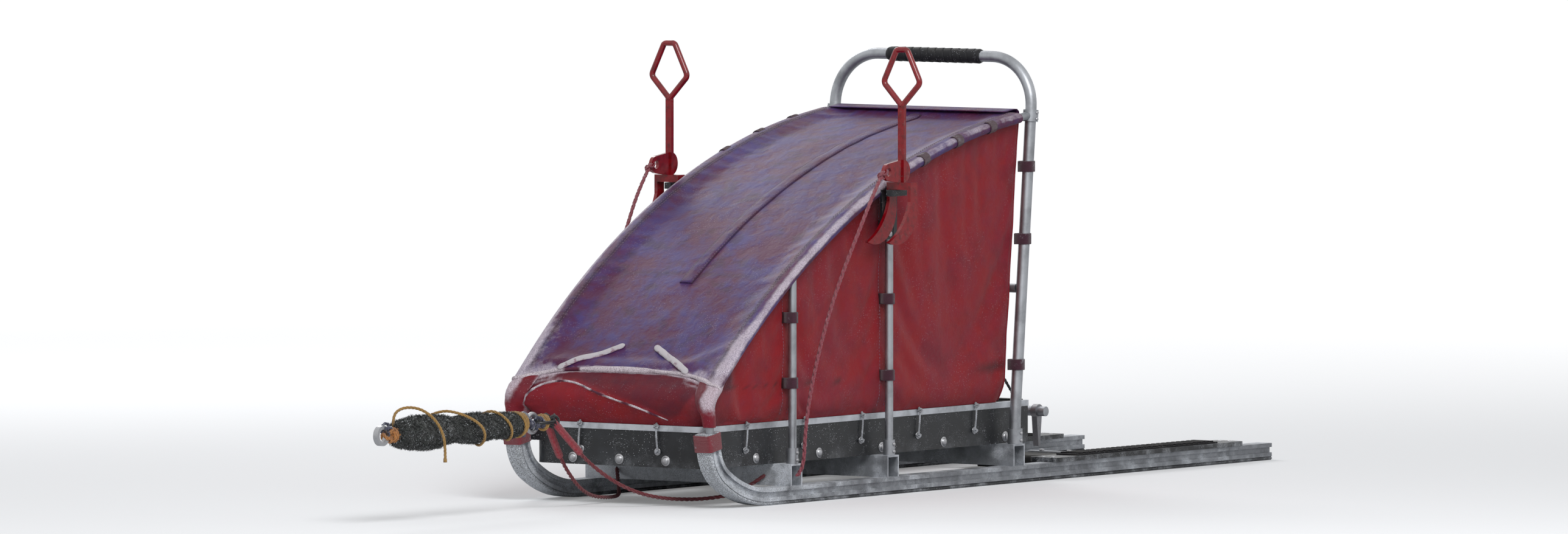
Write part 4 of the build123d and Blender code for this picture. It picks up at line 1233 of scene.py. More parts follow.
@dataclass
class Bed:
    """Bed sheet, boards, their trim, bolts and the elastic loops that hold the bag's foot down."""

    bolt_radius: float = 0.0085
    bolt_height: float = 101.0
    front_bolts: tuple[float, ...] = (-124.0, 0.0, 124.0)
    side_bolts: tuple[float, ...] = (240.0, 480.0, 720.0, 960.0, 1200.0)
    loop_height: float = 178.0
    loop_drop: float = 58.0
    front_loops: tuple[float, ...] = (-102.0, 102.0)
    side_loops: tuple[float, ...] = (200.0, 420.0, 640.0, 860.0, 1080.0)

    def build(self) -> None:
        """Dress the nodes and add the small pieces."""
        dress(BED_PLASTIC, "bed_sheet")
        dress(BOARD_PLASTIC, "front_board", "side_board_left", "side_board_right")
        dress(TRIM_ALLOY, "board_trim")
        put(self.bolts(), BARE_STEEL)
        put(self.loops(), PALE_BUNGEE)
        put(self.grommets(), BARE_STEEL)

    def places(
        self, across: Sequence[float], along: Sequence[float], height: float
    ) -> list[tuple[Vector, Vector]]:
        """Places on the boards' outer faces, with the ways that they face.

        Args:
            across: millimetres to the right of those on the front board.
            along: stations of those on each side board.
            height: their height in millimetres.

        Returns:
            The places with their directions.
        """
        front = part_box("front_board")[0][0] * 1000 + MIDDLE_STATION
        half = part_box("side_board_right")[1][1] * 1000
        found = [(at(front, side, height), Vector((-1, 0, 0))) for side in across]
        for station in along:
            for side in Side:
                found.append((at(station, side.value * half, height), Vector((0, side.value, 0))))
        return found

    def loop_places(self) -> list[tuple[Vector, Vector]]:
        """Places on the boards' top edge where a loop hangs, with the ways that they face."""
        return self.places(self.front_loops, self.side_loops, self.loop_height)

    def bolts(self) -> bpy.types.Object:
        """Dome heads on washers.

        Returns:
            The bolts as one piece.
        """
        skin = Skin()
        reach = self.bolt_radius
        profile = [
            (reach * 1.35, -0.0005),
            (reach * 1.35, 0.0010),
            (reach * 1.25, 0.0014),
            (reach, 0.0014),
            (reach * 0.97, 0.0026),
            (reach * 0.82, 0.0044),
            (reach * 0.52, 0.0058),
            (reach * 0.2, 0.0064),
        ]
        for place, face in self.places(self.front_bolts, self.side_bolts, self.bolt_height):
            skin.turned(place, face, profile, 18)
        return skin.piece("board_bolts")

    def loops(self) -> bpy.types.Object:
        """Elastic cords from the bag's foot down to the board, knotted at both ends.

        Returns:
            The cords as one piece.
        """
        skin = Skin()
        for number, (place, face) in enumerate(self.loop_places()):
            aside = face.cross(Vector((0, 0, 1)))
            slant = 0.004 if number % 2 else -0.003
            top = place + face * 0.006 + Vector((0, 0, -0.002))
            foot = place + face * 0.005 + aside * slant - Vector((0, 0, self.loop_drop / 1000))
            path = [
                top + Vector((0, 0, 0.008)) - face * 0.007,
                top + Vector((0, 0, 0.006)),
                top - Vector((0, 0, 0.006)),
                (top + foot) * 0.5 + face * 0.001,
                foot + Vector((0, 0, 0.006)),
                foot,
                foot - face * 0.006,
            ]
            Rope(0.0024, Lay.TWISTED, 3, 3.0, 6).add_to(skin, line_of(path, 6))
            for middle in (top, foot):
                knot = Rope(0.0019, Lay.TWISTED, 3, 3.0, 5)
                knot.add_to(skin, knot_of(middle, Vector((0, 0, 1)) + face * 0.2, 0.0052, 0.6, 40), True)
        return skin.piece("foot_loops")

    def grommets(self) -> bpy.types.Object:
        """Rings in the board where the elastic cords pass through.

        Returns:
            The rings as one piece.
        """
        profile = [(0.0042, -0.0005), (0.0082, -0.0004), (0.0086, 0.0008), (0.007, 0.0016), (0.0044, 0.0012)]
        skin = Skin()
        for place, face in self.loop_places():
            skin.turned(place - Vector((0, 0, self.loop_drop / 1000)), face, profile, 16)
        return skin.piece("loop_grommets")


@dataclass
class Superstructure:
    """Side rails, struts, the driver's bow and its grip."""

    tape_pitch: float = 0.021
    rivet_radius: float = 0.0042

    def build(self) -> None:
        """Dress the nodes, wind the grip and set the rivets."""
        dress(FRAME_ALLOY, "side_rails", "rail_collars", "bow_crossbar")
        dress(TUBE_ALLOY, "struts", "driver_bow")
        put(self.grip(), GRIP_TAPE, stands_for=["handlebar_grip"])
        put(self.rivets(), BARE_STEEL)

    def grip(self) -> bpy.types.Object:
        """Tape wound over itself along the bow's top.

        Returns:
            The wound tape.
        """
        low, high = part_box("handlebar_grip")
        outer = (high[2] - low[2]) / 2
        inner = outer - 0.0042
        half = (high[1] - low[1]) / 2
        middle = at(BOW_TOP[0], 0, BOW_TOP[1])
        skin = Skin()
        rows = []
        sides = 40
        steps = 260
        for number in range(steps + 1):
            side = -half + 2 * half * number / steps
            row = []
            for corner in range(sides):
                turn = 2 * math.pi * corner / sides
                lap = ((side / self.tape_pitch) + corner / sides) % 1.0
                swell = ease(0.0, 0.12, lap) * (1 - 0.45 * lap)
                ends = ease(0.0, 0.006, half - abs(side))
                reach = inner + (outer - inner) * (0.45 + 0.5 * swell) * (0.35 + 0.65 * ends)
                row.append(middle + Vector((math.cos(turn) * reach, side, math.sin(turn) * reach)))
            rows.append(row)
        skin.bar(rows, flip=True)
        return skin.piece("grip_tape")

    def rivets(self) -> bpy.types.Object:
        """Rivets through the strut sockets, the rail collars and the crossbar's ends.

        Returns:
            The rivets as one piece.
        """
        reach = self.rivet_radius
        profile = [(reach, -0.001), (reach, 0.0008), (reach * 0.8, 0.0022), (reach * 0.35, 0.003)]
        skin = Skin()
        for side in Side:
            out = Vector((0, side.value, 0))
            for station in BEAM_STATIONS:
                wall = 16.5 if station > 1000 else 13.0
                for height in (94.0, 110.0):
                    place = at(station, side.value * (RAIL_OUTSIDE + wall), height)
                    skin.turned(place, out, profile, 12)
            for lift in (-7.0, 7.0):
                height = RAIL_JOINT + lift
                place = at(bow_station(height), side.value * (RAIL_OUTSIDE + 17.0), height)
                skin.turned(place, out, profile, 12)
        return skin.piece("rivets")


@dataclass
class Bag:
    """The sewn bag: a shell of cloth on the boards, its cover, seams, straps and tabs."""

    foot: float = 178.6
    swell: float = 232.0
    half: float = 250.0
    foot_inset: float = 20.0
    nose: float = 27.0
    foot_front: float = 50.0
    corner_front: float = 40.0
    brow_middle: tuple[float, float] = (68.0, 289.0)
    brow_corner: tuple[float, float] = (37.0, 262.0)
    corner_back: float = 20.0
    back_gap: float = 15.0
    side_steps: int = 84
    front_steps: int = 60
    corner_steps: int = 8
    rows_up: int = 30
    cover_rows: int = 96
    cover_columns: int = 44
    wrap_columns: int = 10
    flat_share: float = 0.86
    seam_hook: float = 0.0116
    slack: float = 0.012
    strut_stations: tuple[float, ...] = BEAM_STATIONS[:2]
    tab_stations: tuple[float, ...] = (830.0, 960.0, 1090.0)
    stitch_pitch: float = 7.4
    stitch_half: float = 0.0022
    shell_cut: tuple[float, float] = (3.34, 0.66)
    shell_area: float = 1.4
    cover_cut: tuple[float, float] = (0.6, 1.31)
    cover_area: float = 0.77
    welt_line: tuple[tuple[float, float], ...] = (
        (243.0, 188.0),
        (240.0, 204.0),
        (229.0, 232.0),
        (206.0, 256.0),
        (160.0, 268.0),
        (112.0, 266.0),
        (60.0, 250.0),
        (-8.0, 231.0),
        (-84.0, 211.0),
        (-136.0, 190.0),
    )

    def build(self) -> None:
        """Make the bag's pieces."""
        shell = put(
            self.shell(),
            BAG_RED,
            stands_for=["bag_front", "bag_side_left", "bag_side_right", "bag_back"],
        )
        cover = self.cover()
        put(cover, COVER_MAROON, stands_for=["bag_cover_left", "bag_cover_right"])
        bpy.context.view_layer.update()
        fly = put(self.zip_fly(cover), COVER_MAROON)
        flap = put(self.rear_flap(), COVER_MAROON)
        seam = put(self.piping(), RIM_FROSTED)
        welt = put(self.lobe_welt(shell), RIM_FROSTED)
        put(self.cheeks(), BAG_RED)
        put(self.straps(cover), FROSTED_STRAP)
        put(self.stitches(cover, fly, flap, shell), THREAD)
        put(self.tabs(), MAROON_WEBBING)
        put(self.strut_loops(), MAROON_WEBBING)
        put(self.edge_cords(shell), BAG_RED)
        for piece in (shell, cover, fly, flap):
            log.info("%s has %.3f square metres", piece.name, sum(face.area for face in piece.data.polygons))

    def brow_edge(self, side: float) -> tuple[float, float]:
        """The arched edge where the lobe meets the cover.

        Args:
            side: distance from the middle plane in millimetres.

        Returns:
            The edge's station and height there in millimetres.
        """
        crown = 1 - min(abs(side) / self.half, 1.0) ** 4.5
        station = self.brow_corner[0] + (self.brow_middle[0] - self.brow_corner[0]) * crown
        height = self.brow_corner[1] + (self.brow_middle[1] - self.brow_corner[1]) * crown
        return station, height

    def front_at(self, height: float, side: float = 0.0) -> float:
        """Foremost station of the shell at a height and a distance from the middle plane, in millimetres.

        Args:
            height: height in millimetres.
            side: millimetres from the middle plane.

        Returns:
            The station.
        """
        pull = 13.0 * ease(185.0, 244.0, abs(side)) * ease(self.foot, 215.0, height)
        if height <= self.swell:
            share = (height - self.foot) / (self.swell - self.foot)
            return self.foot_front - (self.foot_front - self.nose) * math.sin(share * math.pi / 2) - pull
        station, top = self.brow_edge(side)
        share = min((height - self.swell) / (top - self.swell), 1.0)
        return self.nose + (station - self.nose) * share**1.9 - pull * (1 - share)

    def half_at(self, height: float) -> float:
        """Half width of the shell at a height, both in millimetres."""
        share = min((height - self.foot) / (self.swell - self.foot), 1.0)
        return self.half - self.foot_inset * (1 - math.sin(share * math.pi / 2))

    def welt_height(self, side: float) -> float:
        """Height of the lobe's second seam at a distance from the middle plane, all in millimetres.

        Args:
            side: millimetres from the middle plane.

        Returns:
            The height.
        """
        for (near, high), (far, low) in zip(self.welt_line, self.welt_line[1:]):
            if near >= side >= far:
                return high + (low - high) * (near - side) / (near - far)
        return self.welt_line[0][1] if side > 0 else self.welt_line[-1][1]

    def crease(self, side: float, height: float) -> float:
        """How near a point of the lobe is to its second seam, from 0 to 1."""
        inside = ease(-142.0, -110.0, side) * (1 - ease(236.0, 243.0, side))
        return (1 - ease(1.0, 9.0, abs(height - self.welt_height(side)))) * inside

    def above_welt(self, side: float, height: float) -> float:
        """How far a point of the lobe is into the band of painted shade over the second seam, from 0 to 1.

        Args:
            side: millimetres from the middle plane.
            height: height in millimetres.

        Returns:
            The share.
        """
        line = self.welt_height(side)
        line += (252.0 - line) * (1 - ease(-235.0, -150.0, side))
        return ease(-3.0, 14.0, height - line)

    def plan(self) -> list[tuple[str, float, int]]:
        """Slots round the shell: the part that each lies in, its share along it and its side.

        Returns:
            The slots, once round the shell.
        """
        runs = (
            ("front", self.front_steps, -1, 2, 1),
            ("front_corner", self.corner_steps, 0, 1, 1),
            ("side", self.side_steps, 0, 1, 1),
            ("back_corner", self.corner_steps, 0, 1, 1),
            ("back", self.front_steps, 1, -2, 1),
            ("back_corner", self.corner_steps, 1, -1, -1),
            ("side", self.side_steps, 1, -1, -1),
            ("front_corner", self.corner_steps, 1, -1, -1),
        )
        slots: list[tuple[str, float, int]] = []
        for part, steps, first, change, side in runs:
            slots.extend((part, first + change * number / steps, side) for number in range(steps))
        return slots

    def outline(self, slot: tuple[str, float, int], height: float) -> tuple[float, float]:
        """Station and side of a slot at a height.

        Args:
            slot: a slot of the plan.
            height: millimetres above the floor.

        Returns:
            The station and the side in millimetres.
        """
        part, share, sign = slot
        half = self.half_at(height)
        back = bow_station(height) - self.back_gap
        low = self.corner_front - 26.0 * ease(self.foot, 225.0, height)
        high = self.corner_back
        front = self.front_at(height, share * (half - low) if part == "front" else half - low)
        if part == "front":
            return front, share * (half - low)
        if part == "front_corner":
            turn = share * math.pi / 2
            return front + low * (1 - math.cos(turn)), sign * (half - low + low * math.sin(turn))
        if part == "side":
            return front + low + share * (back - high - front - low), sign * half
        if part == "back_corner":
            turn = share * math.pi / 2
            return back - high + high * math.sin(turn), sign * (half - high + high * math.cos(turn))
        return back, share * (half - high)

    def top_at(self, station: float, side: float) -> float:
        """Height of the shell's top edge at a station and a side, all in millimetres.

        Args:
            station: the station.
            side: millimetres from the middle plane.

        Returns:
            The height.
        """
        beside = max(ease(228.0, 249.0, abs(side)), ease(90.0, 130.0, station))
        rail = rail_height(max(station, self.brow_corner[0])) - 2.0
        return self.brow_edge(side)[1] * (1 - beside) + rail * beside

    def shell(self) -> bpy.types.Object:
        """The body: one shell round the bag from the boards to the cover.

        Returns:
            The settled shell.
        """
        slots = self.plan()
        tops = []
        for slot in slots:
            height = BROW[1]
            for _ in range(14):
                height = self.top_at(*self.outline(slot, height))
            tops.append(height)
        rows = []
        for number in range(self.rows_up + 1):
            share = number / self.rows_up
            rows.append([self.shell_point(slot, top, share) for slot, top in zip(slots, tops)])
        skin = Skin()
        skin.sheet(rows, ring=True, flip=True)
        skin.dye(self.shell_frost, self.shell_painted_light, self.shell_seam)
        piece = skin.piece("bag_shell")
        self.settle_shell(piece)
        return refined(piece)

    def settle_shell(self, piece: bpy.types.Object) -> None:
        """Let the shell's free panels crease between the struts, the rails and the boards.

        Args:
            piece: the shell's mesh.
        """
        pins = {}
        for vertex in piece.data.vertices:
            station = vertex.co.x * 1000 + MIDDLE_STATION
            side = abs(vertex.co.y) * 1000
            height = vertex.co.z * 1000
            below = self.top_at(station, side) - height
            level = max(1 - ease(3.0, 16.0, below), 1 - ease(0.0, 14.0, height - self.foot))
            upright = max(1 - ease(5.0, 20.0, abs(station - place)) for place in self.strut_stations)
            back = bow_station(height) - self.back_gap - station
            corner = (1 - ease(16.0, 34.0, back)) * ease(215.0, 232.0, side)
            lobe = 1 - ease(85.0, 150.0, station)
            pins[vertex.index] = max(level, upright * ease(200.0, 230.0, side), corner, lobe)
        settle_cloth(piece, pins, slack=0.016, frames=26, gravity=1.0)

    def shell_point(self, slot: tuple[str, float, int], top: float, share: float) -> Vector:
        """A point of the shell with its folds.

        Args:
            slot: its place in the plan.
            top: height of the shell's edge there.
            share: how far up it lies, from 0 to 1.

        Returns:
            The point.
        """
        height = self.foot + share**1.25 * (top - self.foot)
        station, side = self.outline(slot, height)
        part = slot[0]
        point = at(station, side, height)
        seed = Vector((station / 90, side / 90, height / 60))
        held = ease(0.0, 0.12, share) * ease(0.0, 0.1, 1 - share)
        if part in ("side", "back", "back_corner"):
            inward = Vector((0, -slot[2], 0)) if part != "back" else Vector((-1, 0, 0))
            sag = 3.0 + 3.5 * noise.noise(seed * 0.8) + 2.2 * noise.noise(seed * 2.3)
            crease = 2.6 * abs(noise.noise(Vector((station / 46, side / 60, height / 150)))) ** 0.6
            return point + inward * (max(sag - crease, 0.4) * held / 1000)
        wave = 2.2 * noise.noise(seed * 1.4) + 1.2 * noise.noise(seed * 4.0)
        fold = 4.5 * abs(noise.noise(Vector((side / 24, 3.0, height / 120)))) * ease(0.5, 0.95, share)
        drawn = 3.5 * abs(noise.noise(Vector((height / 11, side / 160, 5.0)))) * ease(170.0, 235.0, abs(side))
        ridge = 3.0 * self.crease(side, height)
        return point + Vector(((0.5 + wave + fold + drawn - ridge) * held / 1000, 0, 0))

    def shell_frost(self, point: Vector) -> float:
        """Frost on the shell: ridges along the lobe's upper edge and thin elsewhere.

        Args:
            point: the point's place in metres.

        Returns:
            The frost, from 0 to 1.
        """
        height = point.z * 1000
        station = point.x * 1000 + MIDDLE_STATION
        side = point.y * 1000
        lobe = 1 - ease(100.0, 150.0, station)
        below = self.top_at(station, side) - height
        wave = 0.5 + 0.9 * noise.noise(point * 26.0)
        rim = 1 - ease(1.0, 5.0 + 8.0 * ease(160.0, 235.0, abs(side)), below)
        dip = 12.0 + 7.0 * noise.noise(Vector((side / 70, 0.4, 1.3)))
        ridge = (1 - ease(1.5, 4.0, abs(below - dip))) * ease(0.6, 0.9, abs(side) / 250) * 0.6
        haze = 0.35 * (1 - ease(0.0, 40.0, below)) * ease(0.35, 0.9, abs(side) / 250)
        ridge = max(ridge, 0.32 * self.crease(side, height))
        edge = (1 - ease(2.0, 16.0, below)) * 0.5 * (1 - lobe)
        return min(max((rim * 0.9 + ridge + haze) * lobe * (0.6 + 0.5 * wave), edge * wave, 0.0), 1.0)

    def shell_painted_light(self, point: Vector) -> float:
        """Painted light and shade on the shell: bright in the lobe's middle, painted shade under the top
        edge.

        Args:
            point: the point's place in metres.

        Returns:
            The brightness, from 0 to 1.
        """
        height = point.z * 1000
        station = point.x * 1000 + MIDDLE_STATION
        below = self.top_at(station, point.y * 1000) - height
        lobe = 1 - ease(100.0, 150.0, station)
        # Painted shade: darker at the lobe's corners, at its foot by the boards and in the band over the
        # second seam.
        corner = 0.45 * lobe * ease(150.0, 245.0, abs(point.y) * 1000)
        foot = 0.4 * lobe * (1 - ease(self.foot, self.foot + 22.0, height))
        band = 0.85 * lobe * self.above_welt(point.y * 1000, height)
        return max(0.0, 0.25 + 0.75 * ease(0.0, 30.0, below) - corner - foot - band)

    def shell_seam(self, point: Vector) -> float:
        """Seams: one round the bag at its fullest height and one down each strut.

        Args:
            point: the point's place in metres.

        Returns:
            How much of a seam it is, from 0 to 1.
        """
        height = point.z * 1000
        station = point.x * 1000 + MIDDLE_STATION
        level = (1 - ease(0.4, 2.0, abs(height - 262.0))) * ease(70.0, 120.0, station)
        upright = max(1 - ease(1.0, 4.0, abs(abs(station - place) - 14.0)) for place in self.strut_stations)
        return max(level, upright * 0.7)

    def cover_section(self, share: float) -> tuple[float, float]:
        """Side and lift over the rails' centre lines of a point across the cover.

        Args:
            share: place across the cover, from -1 to 1.

        Returns:
            Millimetres to the right and above the rails' centre lines.
        """
        wrap = 0.14
        sign = 1.0 if share >= 0 else -1.0
        place = abs(share)
        if place <= 1 - wrap:
            return sign * (RAIL_OUTSIDE - 8.0) * place / (1 - wrap), 12.0
        turn = math.pi / 2 - (place - 1 + wrap) / wrap * math.radians(235)
        reach = RAIL_TUBE + 2.6
        return sign * (RAIL_OUTSIDE + reach * math.cos(turn)), reach * math.sin(turn)

    def cover(self) -> bpy.types.Object:
        """The cover: cloth hung between the rails, wrapped round them and settled under its weight.

        Returns:
            The settled cover.
        """
        end = 1204.0
        inner = self.flat_share
        across, around = self.cover_columns, self.wrap_columns
        flat = [-inner + 2 * inner * number / across for number in range(across + 1)]
        wrap = [inner + (1 - inner) * number / around for number in range(1, around + 1)]
        shares = [-share for share in reversed(wrap)] + flat + wrap
        rows = []
        for up in range(self.cover_rows + 1):
            row = []
            for share in shares:
                side, lift = self.cover_section(share)
                start = self.brow_edge(side)[0] + 2.0
                station = start + (end - start) * up / self.cover_rows
                square = rail_square(station)
                base = at(station, side, rail_height(station))
                puff_and_painted_light = 0.0012 * noise.noise(Vector((station / 55, side / 55, 0.0))) * (abs(share) < inner)
                low = 7.0 * (1 - ease(0.0, 30.0, station - start)) * (1 - ease(240.0, 257.0, abs(side)))
                row.append(base + square * ((lift - low) / 1000 + puff_and_painted_light))
            rows.append(row)
        skin = Skin()
        skin.sheet(rows, flip=True)
        piece = skin.piece("bag_cover")
        self.settle(piece)
        self.finish_cover(piece)
        return refined(piece)

    def settle(self, piece: bpy.types.Object) -> None:
        """Let the cover's free middle sag and crease as cloth does.

        Args:
            piece: the cover's mesh.
        """
        last = at(1190.0, 0, 0).x
        pins = {}
        for vertex in piece.data.vertices:
            across = ease(0.236, 0.247, abs(vertex.co.y))
            first = at(self.brow_edge(vertex.co.y * 1000)[0], 0, 0).x
            ends = max(1 - ease(0.002, 0.03, vertex.co.x - first), ease(0.0, 0.012, vertex.co.x - last))
            pins[vertex.index] = min(max(across, ends), 1.0)
        settle_cloth(piece, pins, slack=self.slack, frames=24, gravity=1.0)

    def finish_cover(self, piece: bpy.types.Object) -> None:
        """Mark the cover's frost, shade and seams.

        Args:
            piece: the cover's mesh.
        """
        rules = {"frost": self.cover_frost, "puff_and_painted_light": self.cover_puff, "seam": self.cover_seam}
        for title, rule in rules.items():
            layer = piece.data.attributes.new(title, "FLOAT", "POINT")
            for vertex in piece.data.vertices:
                layer.data[vertex.index].value = rule(vertex.co)
        piece.data.shade_smooth()

    def cover_frost(self, point: Vector) -> float:
        """Frost on the cover: along the rails' crests and over the brow.

        Args:
            point: the point's place in metres.

        Returns:
            The frost, from 0 to 1.
        """
        station = point.x * 1000 + MIDDLE_STATION
        side = abs(point.y) * 1000
        way = rail_slope(station)
        lift = (point.z * 1000 - rail_height(station)) * way.x
        wave = 0.8 + 0.5 * noise.noise(point * 22.0)
        thin = ease(70.0, 230.0, station)
        crest = ease(249.0 + 6.0 * thin, 256.0 + 6.0 * thin, side) * ease(3.0 * thin - 6.0, 4.0, lift)
        crest *= 1.0 - 0.45 * ease(500.0, 1100.0, station)
        past = station - self.brow_edge(side)[0]
        deep = max(9.0 + 26.0 * ease(170.0, 235.0, side) + 10.0 * noise.noise(point * 11.0), 4.0)
        brow = (1 - ease(2.0, deep, past)) * 0.8
        veil = 0.42 * (1 - ease(0.0, 70.0, 250.0 - side)) * (1 - ease(90.0, 330.0, station))
        return min(max(crest * wave, brow * wave, veil * wave, 0.0), 1.0)

    def cover_puff(self, point: Vector) -> float:
        """How bright the cover's cloth is."""
        return min(1.0, 0.78 + 0.34 * noise.noise(point * 5.0))

    def cover_seam(self, point: Vector) -> float:
        """Seams along the rails and across at the struts.

        Args:
            point: the point's place in metres.

        Returns:
            How much of a seam it is, from 0 to 1.
        """
        station = point.x * 1000 + MIDDLE_STATION
        side = abs(point.y) * 1000
        across = max(1 - ease(1.0, 7.0, abs(station - place)) for place in self.strut_stations)
        return max(across * 0.5, 1 - ease(1.0, 5.0, abs(side - 244.0)))

    def neck_line(self) -> list[Vector]:
        """Centre line of a rail from its lashing up to the brow, in the middle plane."""
        rows = [(20.0, 0, 166.0), (14.5, 0, 200.0), (10.5, 0, 232.0), (34.0, 0, 258.5), (62.0, 0, 283.5)]
        return line_of([at(*row) for row in rows], 10)

    def neck_station(self, line: Sequence[Vector], height: float) -> float:
        """Station of a rail's centre at a height on its way up to the brow, in millimetres.

        Args:
            line: centre line of the rail's neck.
            height: height in millimetres.

        Returns:
            The station.
        """
        for low, high in zip(line, line[1:]):
            if low.z * 1000 <= height <= high.z * 1000:
                share = (height / 1000 - low.z) / max(high.z - low.z, 1e-9)
                return (low.x + (high.x - low.x) * share) * 1000 + MIDDLE_STATION
        return line[-1].x * 1000 + MIDDLE_STATION

    def face_station(self, side: float, height: float) -> float:
        """Station of the lobe's face at a side and a height, round its corner too, all in millimetres.

        Args:
            side: millimetres from the middle plane.
            height: height in millimetres.

        Returns:
            The station.
        """
        half = self.half_at(height)
        low = self.corner_front - 26.0 * ease(self.foot, 225.0, height)
        if side <= half - low:
            return self.front_at(height, side)
        past = min((side - half + low) / low, 1.0)
        return self.front_at(height, half - low) + low * (1 - math.sqrt(1 - past * past))

    def cheeks(self) -> bpy.types.Object:
        """The bag's front corners: cloth drawn from the lobe round the rails to the bag's sides.

        Returns:
            Both corners as one piece.
        """
        edge_rows = [(226, 180), (233, 190), (236, 206), (231, 224), (221, 246), (215, 262), (213, 278)]
        edge = line_of([Vector((0, *row)) for row in edge_rows], 10)
        line = self.neck_line()
        steps = 36
        rows = [self.cheek_row(line, edge, number / steps) for number in range(steps + 1)]
        skin = Skin()
        for side in Side:
            cloth = [[Vector((point.x, side.value * point.y, point.z)) for point in row] for row in rows]
            skin.sheet(cloth, flip=side is Side.RIGHT)
        skin.dye(self.cheek_frost, self.cheek_painted_light)
        piece = skin.piece("bag_cheeks")
        thicken(piece, 0.0014, 0.0)
        return refined(piece)

    def cheek_row(self, line: Sequence[Vector], edge: Sequence[Vector], share: float) -> list[Vector]:
        """Points of the right front corner at one level, from the lobe round the rail to the bag's side.

        Args:
            line: centre line of the rail's neck.
            edge: the corner's inner edge on the lobe.
            share: how far up the row lies, from 0 to 1.

        Returns:
            The row's points.
        """
        level = 179.6 + 94.4 * share
        neck = self.neck_station(line, level)
        inner = edge[min(round(share * (len(edge) - 1)), len(edge) - 1)]
        open_up = ease(-0.3, 0.06, share)
        close = 0.9 + 0.1 * ease(0.0, 0.12, share) - 0.2 * ease(0.8, 1.0, share)
        slant = (1 + 0.42 * ease(226.0, 246.0, level)) * close
        start = (neck + 5.0) * (1 - open_up) + (self.face_station(inner.y, inner.z) - 1.0) * open_up
        first = 253.0 * (1 - open_up) + inner.y * open_up
        first_level = level * (1 - open_up) + inner.z * open_up
        rear = 12.0 + 34.0 * open_up * (1 - 0.75 * ease(0.45, 1.0, share))
        last = 254.0 * (1 - open_up) + (self.half_at(level) + 0.6) * open_up
        halfway = (start + neck - 13.0 * slant) / 2 - 3.5 * open_up
        plan = [
            (start, first, first_level),
            (halfway, (first + 250.0) / 2, (first_level + level) / 2),
            (neck - 11.6 * slant, 252.0, level),
            (neck - 12.4 * slant, 264.0, level),
            (neck - 8.5 * slant, 264.0 + 11.6 * close, level),
            (neck + 4.0 * slant, 264.0 + 12.6 * close, level),
            (neck + 13.0 * slant, 264.0 + 8.5 * close, level),
            (neck + max(rear * 0.6, 12.6 * slant), 258.0, level),
            (neck + max(rear, 13.0 * slant), last, level),
        ]
        smooth = line_of([at(*point) for point in plan], 4)
        row = []
        for column, point in enumerate(smooth):
            along = column / (len(smooth) - 1)
            seed = Vector((level / 9.0, along * 2.2, 4.0))
            fold = (1.4 * noise.noise(seed) + 1.6 * abs(noise.noise(seed * 0.5)) - 0.6) / 1000
            ends = ease(0.0, 0.2, min(along, 1 - along))
            held = ease(0.0, 0.2, share) * ease(0.0, 0.12, 1 - share) * ends
            away = Vector((-0.7, 0.7, 0)) if along < 0.6 else Vector((0, 1, 0))
            row.append(point + away * (fold * held))
        return row

    def cheek_painted_light(self, point: Vector) -> float:
        """Painted light on the front corners' cloth: brighter below about 0.2 m, darker above, with random
        variation.
        """
        return 0.3 + 0.35 * (1 - ease(0.2, 0.24, point.z)) + 0.2 * noise.noise(point * 40.0)

    def cheek_frost(self, point: Vector) -> float:
        """Frost on the front corners: thick on the shoulder over the rail, thin below.

        Args:
            point: the point's place in metres.

        Returns:
            The frost, from 0 to 1.
        """
        height = point.z * 1000
        side = abs(point.y) * 1000
        wave = 0.85 + 0.6 * noise.noise(point * 24.0)
        shoulder = ease(196.0, 246.0, height) * ease(232.0, 262.0, side)
        low = 0.34 * ease(250.0, 268.0, side)
        inner = 0.5 * (1 - ease(2.0, 9.0, side - 216.0 - 0.42 * max(246.0 - height, 0.0)))
        return min(max((0.95 * shoulder + low) * wave, inner * wave, 0.12), 1.0)

    def lobe_welt(self, shell: bpy.types.Object) -> bpy.types.Object:
        """The frosted second seam that runs over the lobe in a low arch.

        Args:
            shell: the settled shell.

        Returns:
            The seam.
        """
        path = []
        for point in line_of([Vector((0, *row)) for row in self.welt_line], 10):
            place = hit(shell, at(-60.0, point.y, point.z), Vector((1, 0, 0)))
            if place is not None:
                path.append(place + Vector((-0.0004, 0, 0)))
        skin = Skin()

        def swell(share: float) -> float:
            """Radius of the seam along its way."""
            ends = ease(-0.03, 0.06, min(share, 1 - share))
            return (0.9 + 1.5 * ends + 1.0 * noise.noise(Vector((share * 34, 7.0, 0)))) / 1000

        skin.tube(path, swell, 8)
        # The second value sets the piece's painted shade: lower is darker.
        skin.dye(lambda point: min(1.0, max(0.0, 0.62 + 1.1 * noise.noise(point * 34.0))), 0.2)
        return skin.piece("lobe_welt")

    def piping(self) -> bpy.types.Object:
        """A rolled seam along the brow where the cover meets the lobe, and on round both rails.

        Returns:
            The rolled seam.
        """
        station = self.brow_corner[0] + 1.5
        square = rail_square(station)
        turns = [math.radians(100 - 240 * number / 18) for number in range(19)]
        hooks = {}
        for side in Side:
            centre = at(station, side.value * RAIL_OUTSIDE, rail_height(station))
            spokes = [Vector((0, side.value * math.cos(turn), 0)) + square * math.sin(turn) for turn in turns]
            hooks[side] = [centre + spoke * self.seam_hook for spoke in spokes]
        arch = []
        for number in range(97):
            side = (-1 + 2 * number / 96) * 246.0
            station, height = self.brow_edge(side)
            wave = 1.4 * noise.noise(Vector((side / 42, 1.7, 0)))
            rise = 4.5 + 4.0 * ease(205.0, 246.0, abs(side))
            arch.append(at(station + 1.5, side, height + rise + wave))
        path = list(reversed(hooks[Side.LEFT])) + arch + hooks[Side.RIGHT]
        skin = Skin()

